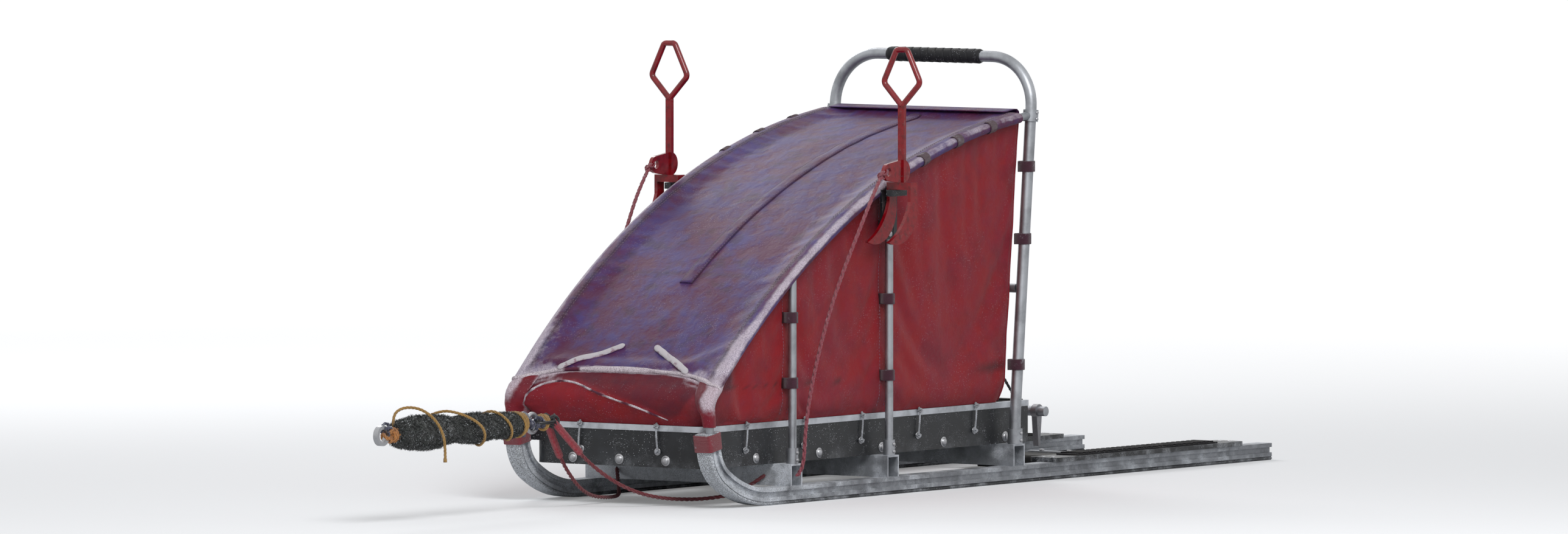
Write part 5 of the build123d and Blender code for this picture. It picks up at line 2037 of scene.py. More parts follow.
        def swell(share: float) -> float:
            """Radius of the seam along its way.

            Args:
                share: how far along the seam, from 0 to 1.

            Returns:
                The radius in metres.
            """
            side = path[round(share * (len(path) - 1))].y * 1000
            ridge = 3.6 * ease(-86.0, -40.0, side) * (1 - ease(70.0, 110.0, side))
            corner = 2.0 * ease(190.0, 235.0, abs(side)) - 3.4 * ease(246.0, 262.0, abs(side))
            return (4.6 + ridge + corner + 1.4 * noise.noise(Vector((share * 21, 4.0, 0)))) / 1000

        skin.tube(path, swell, 10)
        # The second value sets the piece's painted shade: lower is darker.
        skin.dye(self.brow_frost, 0.35)
        return skin.piece("brow_seam", levels=1)

    def brow_frost(self, point: Vector) -> float:
        """Frost on the brow's seam, thin for a hand's width to the right of the middle.

        Args:
            point: the point's place in metres.

        Returns:
            The frost, from 0 to 1.
        """
        side = point.y * 1000
        bare = ease(108.0, 122.0, side) * (1 - ease(150.0, 168.0, side))
        return max(0.0, min(1.0, 0.95 + 0.6 * noise.noise(point * 13.0 + Vector((0.4, 0, 0)))) - 0.75 * bare)

    def on_cover(self, cover: bpy.types.Object, station: float, side: float) -> tuple[Vector, Vector]:
        """The place and the outward direction of the settled cover at a station and a side.

        Args:
            cover: the cover's mesh.
            station: millimetres behind the runner tips.
            side: millimetres to the right.

        Returns:
            The point on the cover and the way that is square to the rails there.
        """
        square = rail_square(station)
        start = at(station, side, rail_height(station)) + square * 0.05
        point = hit(cover, start, -square)
        return (start - square * 0.04 if point is None else point), square

    def straps(self, cover: bpy.types.Object) -> bpy.types.Object:
        """Two frosted straps that run from the brow's corners to the cover's middle.

        Args:
            cover: the settled cover.

        Returns:
            The straps.
        """
        skin = Skin()
        for side in Side:
            rows = []
            steps = 26
            for number in range(steps + 1):
                share = number / steps
                station = 66.0 + 64.0 * share
                across = side.value * (174.0 - 134.0 * share)
                point, square = self.on_cover(cover, station, across)
                run = (rail_slope(station) * 60.0 + Vector((0, -side.value * 128.0, 0))).normalized()
                flat = run.cross(square).normalized()
                wave = 0.0008 * noise.noise(Vector((share * 5, side.value * 2.0, 3.0)))
                centre = point + square * (0.003 + wave) + flat * wave * 2
                ends = ease(-0.02, 0.04, min(share, 1 - share))
                lump = 1 + 0.14 * noise.noise(Vector((share * 11, side.value, 0)))
                row = []
                for corner in range(12):
                    turn = 2 * math.pi * corner / 12
                    wide = 0.0082 * ends * lump
                    edge = flat * (wide * math.cos(turn))
                    row.append(centre + edge + square * (0.5 * wide * math.sin(turn)))
                rows.append(row)
            skin.bar(rows, flip=True)
        return skin.piece("brow_straps", levels=1)

    def strut_loops(self) -> bpy.types.Object:
        """Webbing loops sewn to the shell that go round the struts and the bow's legs.

        Returns:
            The loops as one piece.
        """
        skin = Skin()
        places = [(330.0, 262.0), (330.0, 405.0), (700.0, 262.0), (700.0, 430.0), (700.0, 590.0)]
        bent = ((-15.0, -17.0), (-12.5, -4.0), (-9.5, 6.0), (-4.0, 10.8), (0.0, 11.8))
        for side in Side:
            for station, height in places:
                centre = at(station, side.value * RAIL_OUTSIDE, height)
                half = [Vector((along, side.value * out, 0)) / 1000 for along, out in bent]
                other = [Vector((-point.x, point.y, 0)) for point in reversed(half[:-1])]
                bend = half + other
                path = [centre + point for point in bend]
                lean = side.value * 0.004
                out = [Vector((point.x * 0.8, point.y + lean, 0)).normalized() for point in bend]
                skin.band(path, out, 0.024, 0.0016)
            for height in (262.0, 540.0, 700.0):
                centre = at(bow_station(height), side.value * RAIL_OUTSIDE, height)
                path = []
                out = []
                for number in range(15):
                    turn = math.radians(-78 + 246 * number / 14)
                    face = Vector((math.cos(turn), side.value * math.sin(turn), 0))
                    path.append(centre + face * 0.0142)
                    out.append(face)
                path.insert(0, centre + Vector((-0.012, -side.value * 0.0165, 0)))
                out.insert(0, Vector((0, -side.value, 0)))
                path.append(centre + Vector((-0.0215, -side.value * 0.012, 0)))
                out.append(Vector((-1, 0, 0)))
                if side is Side.LEFT:
                    path.reverse()
                    out.reverse()
                skin.band(path, out, 0.024, 0.0016)
        return skin.piece("strut_loops")

    def edge_cords(self, shell: bpy.types.Object) -> bpy.types.Object:
        """Corded seams down the shell's back corners.

        Args:
            shell: the settled shell.

        Returns:
            The cords.
        """
        skin = Skin()
        for side in Side:
            line = []
            way = Vector((-1, -side.value, 0)).normalized()
            for number in range(61):
                height = self.foot + 4 + (rail_height(1228.0) - 8 - self.foot) * number / 60
                half = self.half_at(height) - self.corner_back * 0.29
                back = bow_station(height) - self.back_gap - self.corner_back * 0.29
                corner = at(back, side.value * half, height)
                place = hit(shell, corner - way * 0.02, way)
                if place is not None and (place - corner).length < 0.02:
                    line.append(place - way * 0.0008)
            skin.tube(line, 0.0026, 8)
        # The second value sets the piece's painted shade: lower is darker.
        skin.dye(0.1, 0.75)
        return skin.piece("corner_cords")

    def rear_flap(self) -> bpy.types.Object:
        """The cover's rear flap, folded down over the top of the shell's back.

        Returns:
            The flap.
        """
        rows = []
        outer = 238.0
        top = rail_height(1226.0)
        profile: list[tuple[float, float]] = []
        for station in (1188.0, 1196.0, 1204.0, 1212.0, 1220.0, 1227.0):
            profile.append((station, rail_height(station) + 14.4))
        profile.append((1235.0, top + 14.0))
        profile.append((1241.5, top + 9.5))
        profile.append((1243.5, top + 2.0))
        for height in (top - 6.0, top - 14.0, top - 22.0, top - 30.0, top - 38.0):
            profile.append((bow_station(height) - self.back_gap + 5.0, height))
        for station, height in profile:
            row = []
            for number in range(49):
                side = -outer + 2 * outer * number / 48
                wave = 1.3 * noise.noise(Vector((side / 45, height / 30, 4.0)))
                corner = 5.0 * ease(0.9, 1.0, abs(side) / outer) * ease(0.0, 30.0, top - height)
                row.append(at(station + wave * ease(-2.0, 20.0, top - height), side, height + corner))
            rows.append(row)
        skin = Skin()
        skin.sheet(rows, flip=True)
        # The second value sets the piece's painted shade: lower is darker.
        skin.dye(
            lambda point: 0.16 + 0.2 * noise.noise(point * 15.0),
            0.75,
            lambda point: 1 - ease(0.0, 0.003, abs(point.z - (top - 33.0) / 1000)),
        )
        piece = skin.piece("rear_flap")
        thicken(piece, 0.0018, 1.0)
        return settled(piece)

    def stitches(
        self,
        cover: bpy.types.Object,
        fly: bpy.types.Object,
        flap: bpy.types.Object,
        shell: bpy.types.Object,
    ) -> bpy.types.Object:
        """Rows of lockstitch inside the rails, along the zip's flap, on the rear hem and by the struts.

        Args:
            cover: the settled cover.
            fly: the flap over the zip.
            flap: the rear flap.
            shell: the settled shell.

        Returns:
            The stitches.
        """
        skin = Skin()

        def add(cloth: bpy.types.Object, starts: Sequence[Vector], way: Vector) -> None:
            """Add one stitch that lies on the cloth under its three points.

            Args:
                cloth: the cloth that it is sewn into.
                starts: its three points, off the cloth.
                way: the direction from them to the cloth.
            """
            found = []
            for start, lift in zip(starts, (-0.0003, 0.0005, -0.0003)):
                place = hit(cloth, start, way)
                if place is None:
                    return
                found.append(place - way * lift)
            skin.tube(found, 0.0006, 5)

        for number in range(146):
            station = 118.0 + self.stitch_pitch * number
            incline = rail_slope(station)
            square = rail_square(station)
            base = at(station, 0, rail_height(station)) + square * 0.06
            steps = [base + incline * (self.stitch_half * part) for part in (-1, 0, 1)]
            for side in (-246.5, -240.5, 240.5, 246.5):
                add(cover, [step + Vector((0, side / 1000, 0)) for step in steps], -square)
            if 308.0 < station < 1178.0:
                for side in (-13.2, 13.2):
                    add(fly, [step + Vector((0, side / 1000, 0)) for step in steps], -square)
        hem = (rail_height(1226.0) - 31.5) / 1000
        for number in range(63):
            side = (-229.4 + self.stitch_pitch * number) / 1000
            for level in (hem, hem + 0.005):
                behind = at(1290.0, 0, 0).x
                starts = [Vector((behind, side + self.stitch_half * part, level)) for part in (-1, 0, 1)]
                add(flap, starts, Vector((-1, 0, 0)))
        for place in self.strut_stations:
            for number in range(int((rail_height(place) - 205.0) / self.stitch_pitch)):
                level = (196.0 + self.stitch_pitch * number) / 1000
                for side in Side:
                    for off in (-14.0, 14.0):
                        start = at(place + off, side.value * 300.0, 0)
                        heights = [level + self.stitch_half * part for part in (-1, 0, 1)]
                        starts = [Vector((start.x, start.y, height)) for height in heights]
                        add(shell, starts, Vector((0, -side.value, 0)))
        return skin.piece("bag_stitches")

    def tabs(self) -> bpy.types.Object:
        """Webbing tabs that tie the cover down to the shell, round the rails.

        Returns:
            The tabs as one piece.
        """
        skin = Skin()
        for side in Side:
            for station in self.tab_stations:
                square = rail_square(station)
                outward = Vector((0, side.value, 0))
                centre = at(station, side.value * RAIL_OUTSIDE, rail_height(station))
                path = []
                out = []
                for number in range(15):
                    turn = math.radians(128 - 250 * number / 14)
                    face = outward * math.cos(turn) + square * math.sin(turn)
                    path.append(centre + face * 0.0122)
                    out.append(face)
                skin.band(path, out, 0.025, 0.0016)
        return skin.piece("rail_tabs")

    def zip_fly(self, cover: bpy.types.Object) -> bpy.types.Object:
        """The flap over the zip along the cover's middle.

        Args:
            cover: the settled cover.

        Returns:
            The flap.
        """
        skin = Skin()
        rows = []
        for number in range(121):
            station = 300.0 + (1184.0 - 300.0) * number / 120
            row = []
            for step in range(9):
                share = -1 + step / 4
                point, square = self.on_cover(cover, station, share * 17.0)
                bulge = 1.0 - abs(share) ** 4
                wave = 0.8 * noise.noise(Vector((station / 40, share * 2, 2.0)))
                row.append(point + square * ((0.9 + 2.6 * bulge + wave * bulge) / 1000))
            rows.append(row)
        skin.sheet(rows, flip=True)
        # The second value sets the piece's painted shade: lower is darker.
        skin.dye(
            lambda point: 0.2 * ease(0.1, 0.5, noise.noise(point * 8.0)),
            0.6,
            lambda point: ease(0.012, 0.0145, abs(point.y)),
        )
        piece = skin.piece("zip_fly")
        thicken(piece, 0.0018, -1.0)
        return settled(piece)


def knot_of(middle: Vector, way: Vector, size: float, depth: float = 0.5, count: int = 72) -> list[Vector]:
    """Points of a closed overhand knot's line.

    Args:
        middle: its middle.
        way: the way that the rope runs through it.
        size: its radius.
        depth: how thick it is, as a share of the radius.
        count: how many points it has.

    Returns:
        The points.
    """
    across = way.orthogonal().normalized()
    up = way.normalized().cross(across)
    line = []
    for number in range(count):
        turn = 2 * math.pi * number / count
        reach = size * (2 + math.cos(3 * turn)) / 3
        flat = across * (reach * math.cos(2 * turn)) + up * (reach * math.sin(2 * turn))
        line.append(middle + flat + way.normalized() * (math.sin(3 * turn) * size * depth))
    return line


@dataclass
class DriversPlace:
    """Footboards with their pads."""

    screw_radius: float = 0.0045
    board_side: float = 0.243

    def build(self) -> None:
        """Dress the nodes and set the screws."""
        dress(BOARD_PLASTIC, "footboards")
        dress(TREAD_RUBBER, "foot_pads")
        put(self.screws(), BARE_STEEL)

    def screws(self) -> bpy.types.Object:
        """Countersunk screws along the footboards' tails.

        Returns:
            The screws as one piece.
        """
        low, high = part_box("footboards")
        reach = self.screw_radius
        profile = [(reach * 1.1, -0.001), (reach * 1.1, 0.0006), (reach * 0.7, 0.0016), (reach * 0.2, 0.0019)]
        skin = Skin()
        for side in Side:
            for place in (low.x + 0.022, high.x - 0.022):
                for shift in (-0.013, 0.013):
                    base = Vector((place, side.value * self.board_side + shift, high.z))
                    base.z = self.top_at(base)
                    skin.turned(base, Vector((0, 0, 1)), profile, 12)
        return skin.piece("footboard_screws")

    def top_at(self, place: Vector) -> float:
        """Height of the footboards' upper face under a place."""
        point = hit(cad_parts["footboards"], Vector((place.x, place.y, 1.0)), Vector((0, 0, -1)))
        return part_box("footboards")[1].z if point is None else point.z


@dataclass
class Brakes:
    """The claw brake, the drag mat and the elastic that lifts the claw."""

    elastic_radius: float = 0.0038

    def build(self) -> None:
        """Dress the nodes and hang the elastic."""
        dress(FRAME_ALLOY, "brake_brackets", "claw_brake", "mat_bar", "mat_strips")
        dress(BARE_STEEL, "brake_pins")
        dress(CLAW_STEEL, "brake_claws")
        dress(TREAD_RUBBER, "brake_pedal")
        dress(MAT_RUBBER, "drag_mat")
        self.hang_elastic()
        put(self.strip_bolts(), BARE_STEEL, MAT_BODY)

    def hang_elastic(self) -> None:
        """Elastic cords from the bow's crossbar to the claw bar, looped round both."""
        beam_low, beam_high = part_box("bow_crossbar")
        beam = Vector(((beam_low.x + beam_high.x) / 2, 0, (beam_low.z + beam_high.z) / 2))
        bar = at(1479.0, 0, 140.0)
        beam_reach = (beam_high.z - beam_low.z) / 2
        bar_reach = 0.0112
        skin = Skin()
        for side in Side:
            shift = Vector((0, side.value * 0.062, 0))
            top = beam + shift + Vector((beam_reach + self.elastic_radius, 0, 0))
            foot = bar + shift * 1.25 + Vector((-0.002, 0, bar_reach + self.elastic_radius))
            rope = Rope(self.elastic_radius, Lay.TWISTED, 4, 4.0, 5)
            line = [top.lerp(foot, number / 40) for number in range(41)]
            rope.add_to(skin, line)
            for turn in (-0.006, 0.002):
                place = beam + shift + Vector((0, turn, 0))
                rope.add_to(skin, loop_of(place, Vector((0, 1, 0)), beam_reach + self.elastic_radius), True)
                place = bar + shift * 1.25 + Vector((0, turn, 0))
                rope.add_to(skin, loop_of(place, Vector((0, 1, 0)), bar_reach + self.elastic_radius), True)
        piece = skin.piece("brake_elastic")
        piece.data.materials.append(BLACK_WEBBING.material())
        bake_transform(piece)

    def strip_bolts(self) -> bpy.types.Object:
        """Bolts through the mat's strips.

        Returns:
            The bolts as one piece.
        """
        low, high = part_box("mat_strips")
        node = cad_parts["mat_strips"]
        profile = [(0.0062, -0.0008), (0.0062, 0.003), (0.0052, 0.0042), (0.0018, 0.0046)]
        skin = Skin()
        for share in (0.12, 0.37, 0.63, 0.88):
            for place in (low.x + 0.012, high.x - 0.012):
                start = Vector((place, low.y + share * (high.y - low.y), 1.0))
                point = hit(node, start, Vector((0, 0, -1)))
                if point is not None:
                    skin.turned(point, Vector((0, 0, 1)), profile, 6)
        if not skin.points:
            skin.turned(Vector(((low.x + high.x) / 2, 0, high.z)), Vector((0, 0, 1)), profile, 6)
        return skin.piece("mat_bolts", smooth=False)


@dataclass
class SnowHooks:
    """The pair of snow hooks in their holsters, with the ropes that hold them to the sled."""

    route: tuple[Row, ...] = (
        (609, 312, 715),
        (564, 313, 660),
        (520, 310, 590),
        (470, 304, 508),
        (424, 299, 420),
        (384, 297, 330),
        (352, 296, 240),
        (332, 297, 160),
        (328, 297, 104),
        (330, 288, 70),
        (330, 275.3, 60),
    )
    diameter: float = 0.012
    length: float = 0.728

    def build(self) -> None:
        """Dress the hooks and lay their ropes."""
        dress(HOOK_RED, "snow_hook_left", "snow_hook_right")
        dress(BOARD_PLASTIC, "hook_holsters")
        for side, name in ((Side.LEFT, "left"), (Side.RIGHT, "right")):
            self.lay_rope(side, name)
        put(self.holster_bolts(), BARE_STEEL)

    def lay_rope(self, side: Side, name: str) -> None:
        """Lay one hook's rope.

        Args:
            side: the side of the sled.
            name: the side's word in the nodes' names.
        """
        points = [at(station, side.value * out, height) for station, out, height in self.route]
        line = line_of(points, 24)
        skin = Skin()
        Rope(self.diameter / 2, Lay.PLAITED, 3, 4.2, 6).add_to(skin, line)
        rope = put(skin.piece(f"hook_rope_{name}"), HOOK_ROPE, stands_for=[f"hook_line_{name}"])
        log.info("hook rope %s measures %.3f m", name, length_of(line))
        loop = Skin()
        middle = at(612.0, side.value * 312.0, 712.0)
        round_eye = loop_of(middle, Vector((0.75, 0, -0.6)), 0.0078)
        Rope(0.0024, Lay.TWISTED, 3, 4.0, 5).add_to(loop, round_eye, True)
        knot = at(600.0, side.value * 312.3, 704.0)
        along = (points[1] - points[0]).normalized()
        Rope(0.0022, Lay.TWISTED, 3, 4.0, 5).add_to(loop, knot_of(knot, along, 0.0078, 0.6), True)
        seizing = put(loop.piece(f"hook_seizing_{name}"), HOOK_ROPE)

    def holster_bolts(self) -> bpy.types.Object:
        """Bolts through the holsters' plates into the struts.

        Returns:
            The bolts as one piece.
        """
        low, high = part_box("hook_holsters")
        profile = [(0.0064, -0.0006), (0.0064, 0.0028), (0.005, 0.0046), (0.0016, 0.005)]
        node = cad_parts["hook_holsters"]
        skin = Skin()
        for side in Side:
            for lift in (0.012, 0.034):
                start = Vector(((low.x + high.x) / 2, side.value * 0.5, low.z + lift))
                point = hit(node, start, Vector((0, -side.value, 0)))
                if point is not None:
                    skin.turned(point, Vector((0, side.value, 0)), profile, 12)
        return skin.piece("holster_bolts")


@dataclass
class ShockAbsorber:
    """The shaggy sleeve over the elastic core, with the ropes and knots that are tied about it."""

    front: float = -785.0
    rear: float = -330.0
    height: float = 195.0
    lobes: tuple[tuple[float, float, float], ...] = ((0.0, 0.48, 44.0), (0.48, 0.79, 40.0), (0.79, 1.0, 35.0))
    neck: float = 31.0
    pile: float = 9.0
    tufts: int = 10500
    seed: int = 41
    wraps: tuple[tuple[Row, ...], ...] = (
        (
            (-783, 0, 205),
            (-775, 10, 235),
            (-745, 5, 252),
            (-715, -20, 250),
            (-690, -44, 225),
            (-672, -52, 190),
            (-664, -50, 160),
            (-660, -47, 135),
        ),
        (
            (-640, 40, 215),
            (-610, 10, 240),
            (-570, -25, 232),
            (-520, -44, 205),
            (-500, -40, 175),
            (-480, -5, 152),
            (-455, 35, 175),
            (-440, 30, 215),
            (-420, 0, 233),
            (-400, -32, 205),
            (-385, -28, 175),
            (-365, 5, 158),
            (-345, 28, 190),
            (-335, 10, 222),
            (-325, -12, 212),
        ),
    )

    def build(self) -> None:
        """Make the absorber's pieces."""
        put(self.sleeve(), SLEEVE_PILE, stands_for=["shock_absorber"])
        put(self.rope_ends(), TAN_ROPE, stands_for=["tow_rope_ends"])
        put(self.wrapping(), TAN_ROPE)
        put(self.front_knots(), ORANGE_ROPE)
        put(self.rear_knots(), GREY_WEBBING)
        put(self.ring_seizing(), TAN_ROPE)
        put(self.shackle_knot(), BLACK_WEBBING)

    def radius_at(self, share: float) -> float:
        """Radius of the pile's outside at a share of the way to the rear, in millimetres.

        Args:
            share: how far to the rear, from 0 to 1.

        Returns:
            The radius.
        """
        for low, high, reach in self.lobes:
            if share <= high:
                place = (share - low) / (high - low)
                return reach - (reach - self.neck) * abs(2 * place - 1) ** 2.2
        return self.neck

    def core_at(self, share: float) -> float:
        """Radius of the core under the pile, in metres."""
        ends = ease(-0.012, 0.03, share) * ease(-0.012, 0.03, 1 - share)
        return max(self.radius_at(share) - self.pile, 6.0) * (0.35 + 0.65 * ends) / 1000

    def sleeve(self) -> bpy.types.Object:
        """The core with its tufts.

        Returns:
            The core with its pile.
        """
        skin = Skin()
        length = self.rear - self.front
        rows = []
        sides = 36
        for number in range(91):
            share = number / 90
            reach = self.core_at(share)
            row = []
            for corner in range(sides):
                turn = 2 * math.pi * corner / sides
                spoke = Vector((0, math.cos(turn), math.sin(turn)))
                bump = 0.0022 * noise.noise(Vector((share * 40, spoke.y * 3, spoke.z * 3)))
                row.append(at(self.front + share * length, 0, self.height) + spoke * (reach + bump))
            rows.append(row)
        skin.bar(rows, flip=True)
        chance = random.Random(self.seed)
        for _ in range(self.tufts):
            self.add_tuft(skin, chance, length)
        return skin.piece("absorber_pile")

    def add_tuft(self, skin: Skin, chance: random.Random, length: float) -> None:
        """Add one tuft of the pile.

        Args:
            skin: the mesh.
            chance: the source of its random numbers.
            length: length of the sleeve in millimetres.
        """
        share = chance.random()
        turn = chance.random() * 2 * math.pi
        spoke = Vector((0, math.cos(turn), math.sin(turn)))
        reach = self.core_at(share)
        base = at(self.front + share * length, 0, self.height) + spoke * (reach - 0.001)
        clump = noise.noise(base * 45.0)
        room = self.radius_at(share) / 1000 - reach
        tall = room * (0.45 + 0.4 * chance.random() + 0.35 * clump)
        lean = Vector((0.9 * chance.uniform(-1, 1) + 0.5 * clump, chance.uniform(-0.7, 0.7), -0.35))
        lean += Vector((chance.uniform(-0.3, 0.3), 0, chance.uniform(-0.5, 0.5)))
        bend = (lean - spoke * lean.dot(spoke)) * tall
        across = spoke.orthogonal().normalized()
        up = spoke.cross(across)
        wide = chance.uniform(0.0006, 0.0011)
        start = len(skin.points)
        middle = base + spoke * (tall * 0.6) + bend * 0.35
        tip = base + spoke * tall + bend
        for centre, thick in ((base, 1.0), (middle, 0.8)):
            for corner in range(3):
                angle = 2 * math.pi * corner / 3 + turn
                side = across * math.cos(angle) + up * math.sin(angle)
                skin.points.append(centre + side * (wide * thick))
        skin.points.append(tip)
        for corner in range(3):
            after = (corner + 1) % 3
            skin.faces.append((start + corner, start + after, start + 3 + after, start + 3 + corner))
            skin.faces.append((start + 3 + corner, start + 3 + after, start + 6))
        skin.faces.append((start + 2, start + 1, start))

    def rope_ends(self) -> bpy.types.Object:
        """The thick rope at both ends of the sleeve.

        Returns:
            Both ends as one piece.
        """
        low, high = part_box("tow_rope_ends")
        reach = (high.z - low.z) / 2
        skin = Skin()
        rope = Rope(reach * 0.98, Lay.TWISTED, 3, 2.6, 12)
        spans = ((low.x, at(self.front, 0, 0).x + 0.006), (at(self.rear, 0, 0).x - 0.006, high.x))
        level = self.height / 1000
        for start, end in spans:
            line = [Vector((start + (end - start) * number / 24, 0, level)) for number in range(25)]
            rope.add_to(skin, line)
        return skin.piece("rope_ends")

    def wrapping(self) -> bpy.types.Object:
        """Thin rope wound about the sleeve.

        Returns:
            The wound rope.
        """
        skin = Skin()
        rope = Rope(0.0034, Lay.TWISTED, 3, 3.6, 7)
        for wrap in self.wraps:
            points = [at(*row) for row in wrap]
            rope.add_to(skin, line_of(points, 14))
        end = at(*self.wraps[0][-1])
        skin.tube([end + Vector((0, 0, 0.004)), end - Vector((0, 0, 0.004))], 0.0041, 10)
        return skin.piece("sleeve_wrapping")

    def front_knots(self) -> bpy.types.Object:
        """The knot at the eye and the turns behind it.

        Returns:
            The knot with its turns.
        """
        skin = Skin()
        low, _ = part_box("tow_rope_ends")
        middle = Vector((low.x + 0.009, 0, self.height / 1000))
        rope = Rope(0.0042, Lay.TWISTED, 3, 3.6, 7)
        rope.add_to(skin, knot_of(middle, Vector((1, 0.1, 0.2)), 0.0145, 0.6), True)
        second = middle + Vector((-0.006, 0, 0.002))
        rope.add_to(skin, knot_of(second, Vector((0.3, 1, 0.2)), 0.0155, 0.75), True)
        for turn in (0.011, 0.0185):
            rope.add_to(skin, loop_of(middle + Vector((turn, 0, 0)), Vector((1, -0.1, 0.1)), 0.0135), True)
        return skin.piece("front_knot")

    def rear_knots(self) -> bpy.types.Object:
        """Frosted webbing knotted between the sleeve, the ring and the shackle.

        Returns:
            The knots as one piece.
        """
        skin = Skin()
        ring_low, ring_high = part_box("tow_ring")
        level = self.height / 1000
        rope = Rope(0.0062, Lay.PLAITED, 3, 3.4, 8)
        large = Vector((ring_low.x - 0.009, 0, level))
        rope.add_to(skin, knot_of(large, Vector((1, 0, 0.35)), 0.0235, 0.6), True)
        _, eye_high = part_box("tow_eye")
        tail = Vector((eye_high.x - 0.004, 0, level))
        small = Rope(0.004, Lay.PLAITED, 3, 3.4, 8)
        small.add_to(skin, knot_of(tail + Vector((0.001, 0, 0.013)), Vector((1, 0.5, 0.6)), 0.012, 0.8), True)
        thin = Rope(0.0044, Lay.PLAITED, 3, 3.4, 8)
        before = Vector((ring_low.x + 0.0045, 0, level))
        thin.add_to(skin, loop_of(before, Vector((0, 1, 0.15)), 0.0102, 1.3), True)
        behind = Vector((ring_high.x - 0.006, 0, level))
        thin.add_to(skin, knot_of(behind, Vector((1, 0.2, -0.2)), 0.0155, 0.6), True)
        return skin.piece("ring_knots")

    def ring_seizing(self) -> bpy.types.Object:
        """Tan turns at the sleeve's rear end and behind the ring.

        Returns:
            The turns as one piece.
        """
        skin = Skin()
        rope = Rope(0.0034, Lay.TWISTED, 3, 3.6, 7)
        rear = at(self.rear, 0, self.height)
        for along, reach, tilt in ((-0.009, 0.0275, 0.2), (-0.0015, 0.0262, 0.05), (0.0055, 0.0245, -0.14)):
            rope.add_to(skin, loop_of(rear + Vector((along, 0, 0)), Vector((1, 0.08, tilt)), reach), True)
        _, ring_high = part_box("tow_ring")
        for along, reach, tilt in ((0.0075, 0.0152, 0.3), (0.0135, 0.0164, 0.1), (0.0195, 0.0148, -0.2)):
            place = Vector((ring_high.x + along, 0, self.height / 1000))
            rope.add_to(skin, loop_of(place, Vector((1, -0.1, tilt)), reach), True)
        return skin.piece("ring_seizing")

    def shackle_knot(self) -> bpy.types.Object:
        """The black knot that gathers the legs on the shackle.

        Returns:
            The knot.
        """
        skin = Skin()
        _, link_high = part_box("shackle")
        knot = Vector((link_high.x - 0.007, 0, self.height / 1000 + 0.003))
        rope = Rope(0.0048, Lay.PLAITED, 3, 3.4, 8)
        rope.add_to(skin, knot_of(knot, Vector((0.5, 1, 0.2)), 0.0142, 0.8), True)
        for side in Side:
            shift = Vector((0.003, side.value * 0.0105, -0.001))
            rope.add_to(skin, loop_of(knot + shift, Vector((0.3, 1, 0)), 0.0096), True)
        return skin.piece("shackle_knot")


@dataclass
class TowRig:
    """Ring, shackle, eye and the two bridle legs."""

    leg_diameter: float = 0.009
    sleeve_radius: float = 0.0083
    sleeve_reach: float = 0.112
    legs: tuple[tuple[str, float, tuple[Row, ...]], ...] = (
        (
            "left",
            0.620,
            (
                (-207.6, -9, 195),
                (-152, -18, 146),
                (-100, -24, 101),
                (-36, -56, 52),
                (32, -82, 25),
                (108, -104, 13),
                (190, -136, 11),
                (258, -176, 22),
                (307.7, -206, 60),
            ),
        ),
        (
            "right",
            0.627,
            (
                (-207.6, 9, 195),
                (-158, 22, 138),
                (-110, 30, 88),
                (-44, 42, 42),
                (28, 58, 18),
                (104, 66, 11),
                (178, 92, 11),
                (246, 140, 20),
                (307.7, 190, 61),
            ),
        ),
    )
    absorber: ShockAbsorber = field(default_factory=ShockAbsorber)

    def build(self) -> None:
        """Dress the metal, make the absorber and lay the legs."""
        dress(BARE_STEEL, "tow_ring", "tow_eye")
        dress(BLACK_STEEL, "shackle")
        self.absorber.build()
        for name, length, route in self.legs:
            self.lay_leg(name, route)
        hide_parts("leg_sleeves")

    def lay_leg(self, name: str, route: tuple[Row, ...]) -> bpy.types.Object:
        """Lay one leg of the bridle.

        Args:
            name: the side's word in the nodes' names.
            route: its control points.

        Returns:
            The leg's sleeve.
        """
        points = [at(*row) for row in route]
        line = line_of(points, 24)
        log.info("bridle leg %s measures %.3f m", name, length_of(line))
        skin = Skin()
        Rope(self.leg_diameter / 2, Lay.TWISTED, 3, 4.4, 7).add_to(skin, line)
        nodes = [f"bridle_leg_{name}"]
        leg = put(skin.piece(f"bridle_rope_{name}"), BRIDLE_RED, stands_for=nodes)
        travelled = 0.0
        covered = [line[0]]
        for before, after in zip(line, line[1:]):
            travelled += (after - before).length
            if travelled > self.sleeve_reach:
                break
            covered.append(after)
        sleeve_skin = Skin()

        def swell(share: float) -> float:
            """Radius of the sleeve along its way."""
            ends = 0.78 + 0.22 * ease(0.0, 0.06, min(share, 1 - share))
            return self.sleeve_radius * ends + 0.0005 * math.sin(share * 60)

        sleeve_skin.tube(covered, swell, 16)
        sleeve = put(sleeve_skin.piece(f"bridle_sleeve_{name}", levels=1), SLEEVE_RED)
        return sleeve


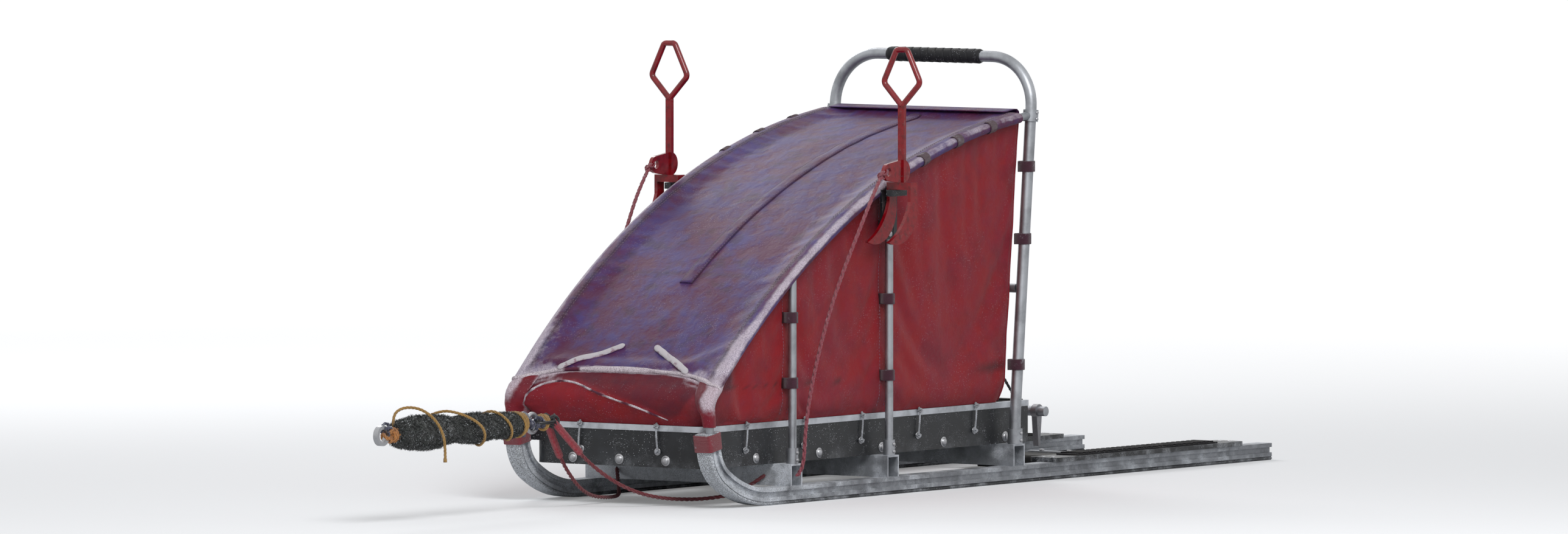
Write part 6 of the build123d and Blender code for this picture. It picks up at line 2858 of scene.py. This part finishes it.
@dataclass
class Studio:
    """Camera, floor, lamps and world."""

    azimuth: float = -55.0
    elevation: float = 3.0
    distance: float = 45.0
    view_width: float = 3.45
    sensor: float = 36.0
    world_level: float = 0.42
    key_watts: float = 165.0
    fill_watts: float = 60.0
    floor_tint: int = 0xE9EBEE

    def build(self) -> None:
        """Set up the whole studio."""
        self.place_camera()
        self.lay_floor()
        self.light_world()
        self.hang_lamp("key", (-3.2, -3.4, 3.6), 2.6, self.key_watts)
        self.hang_lamp("rim", (2.6, 3.6, 2.8), 2.2, self.fill_watts)
        bpy.context.scene.view_settings.view_transform = "Standard"

    def middle(self) -> Vector:
        """Middle of the CAD box."""
        low, high = CAD_BOX
        return (Vector(low) + Vector(high)) / 2

    def place_camera(self) -> None:
        """Put the camera at the photographed viewing angle with the whole sled in its view."""
        turn = math.radians(self.azimuth)
        rise = math.radians(self.elevation)
        way = Vector((math.sin(turn) * math.cos(rise), -math.cos(turn) * math.cos(rise), math.sin(rise)))
        lens = bpy.data.cameras.new("camera")
        lens.sensor_width = self.sensor
        lens.lens = self.sensor * self.distance / self.view_width
        lens.clip_end = 200.0
        camera = bpy.data.objects.new("camera", lens)
        camera.location = self.middle() + way * self.distance
        camera.rotation_euler = (-way).to_track_quat("-Z", "Y").to_euler()
        bpy.context.scene.collection.objects.link(camera)
        bpy.context.scene.camera = camera

    def lay_floor(self) -> None:
        """A wide pale floor under the shoes."""
        skin = Skin()
        size = 60.0
        skin.sheet([[Vector((-size, depth, 0)), Vector((size, depth, 0))] for depth in (-size, size)])
        ground = skin.piece("floor", smooth=False)
        material = bpy.data.materials.new("floor_pale")
        wiring = Wiring(material)
        camera = wiring.node("ShaderNodeLightPath", {}, {}, "Is Camera Ray")
        settings = {"Base Color": tint(self.floor_tint), "Roughness": 0.9, "Specular IOR Level": 0.1}
        matt = wiring.node("ShaderNodeBsdfPrincipled", {}, settings)
        away = wiring.node("ShaderNodeVectorMath", {"operation": "LENGTH"}, {0: wiring.place}, "Value")
        strength = 0.16 + 0.5 * away.step(1.5, 8.0)
        glow = wiring.node("ShaderNodeEmission", {}, {"Color": (1.0, 1.0, 1.0, 1.0), "Strength": strength})
        lifted = wiring.node("ShaderNodeAddShader", {}, {0: matt, 1: glow})
        wiring.node_out(wiring.node("ShaderNodeMixShader", {}, {0: camera, 1: matt, 2: lifted}))
        ground.data.materials.append(material)

    def light_world(self) -> None:
        """Even light from the world, which shows white behind the sled."""
        world = bpy.data.worlds.new("studio")
        bpy.context.scene.world = world
        wiring = Wiring(world)
        camera = wiring.node("ShaderNodeLightPath", {}, {}, "Is Camera Ray")
        glossy = wiring.node("ShaderNodeLightPath", {}, {}, "Is Glossy Ray")
        through = wiring.node("ShaderNodeLightPath", {}, {}, "Is Transmission Ray")
        white = (1.0, 1.0, 1.0, 1.0)
        light = wiring.node("ShaderNodeBackground", {}, {"Color": white, "Strength": self.world_level})
        shown = wiring.node("ShaderNodeBackground", {}, {"Color": white, "Strength": 1.0})
        seen = camera.peak(glossy).peak(through)
        mixed = wiring.node("ShaderNodeMixShader", {}, {0: seen, 1: light, 2: shown})
        wiring.node_out(mixed, "ShaderNodeOutputWorld")

    def hang_lamp(self, name: str, place: Row, size: float, watts: float) -> None:
        """Hang one soft lamp that looks at the sled's middle.

        Args:
            name: its name.
            place: where it hangs, from the sled's middle, in metres.
            size: width of its face.
            watts: its power.
        """
        lamp = bpy.data.lights.new(name, "AREA")
        lamp.shape = "DISK"
        lamp.size = size
        lamp.energy = watts
        hung = bpy.data.objects.new(name, lamp)
        hung.location = self.middle() + Vector(place)
        hung.rotation_euler = (-Vector(place)).to_track_quat("-Z", "Y").to_euler()
        bpy.context.scene.collection.objects.link(hung)


def main() -> None:
    """Build every sub-assembly and set up the studio."""
    logging.basicConfig(level=logging.INFO, format="%(message)s")
    parts = (
        RunningGear(),
        Bed(),
        Superstructure(),
        Bag(),
        DriversPlace(),
        Brakes(),
        SnowHooks(),
        TowRig(),
        Studio(),
    )
    for part in parts:
        log.info("building %s", type(part).__name__)
        part.build()


if __name__ == "__main__":
    main()
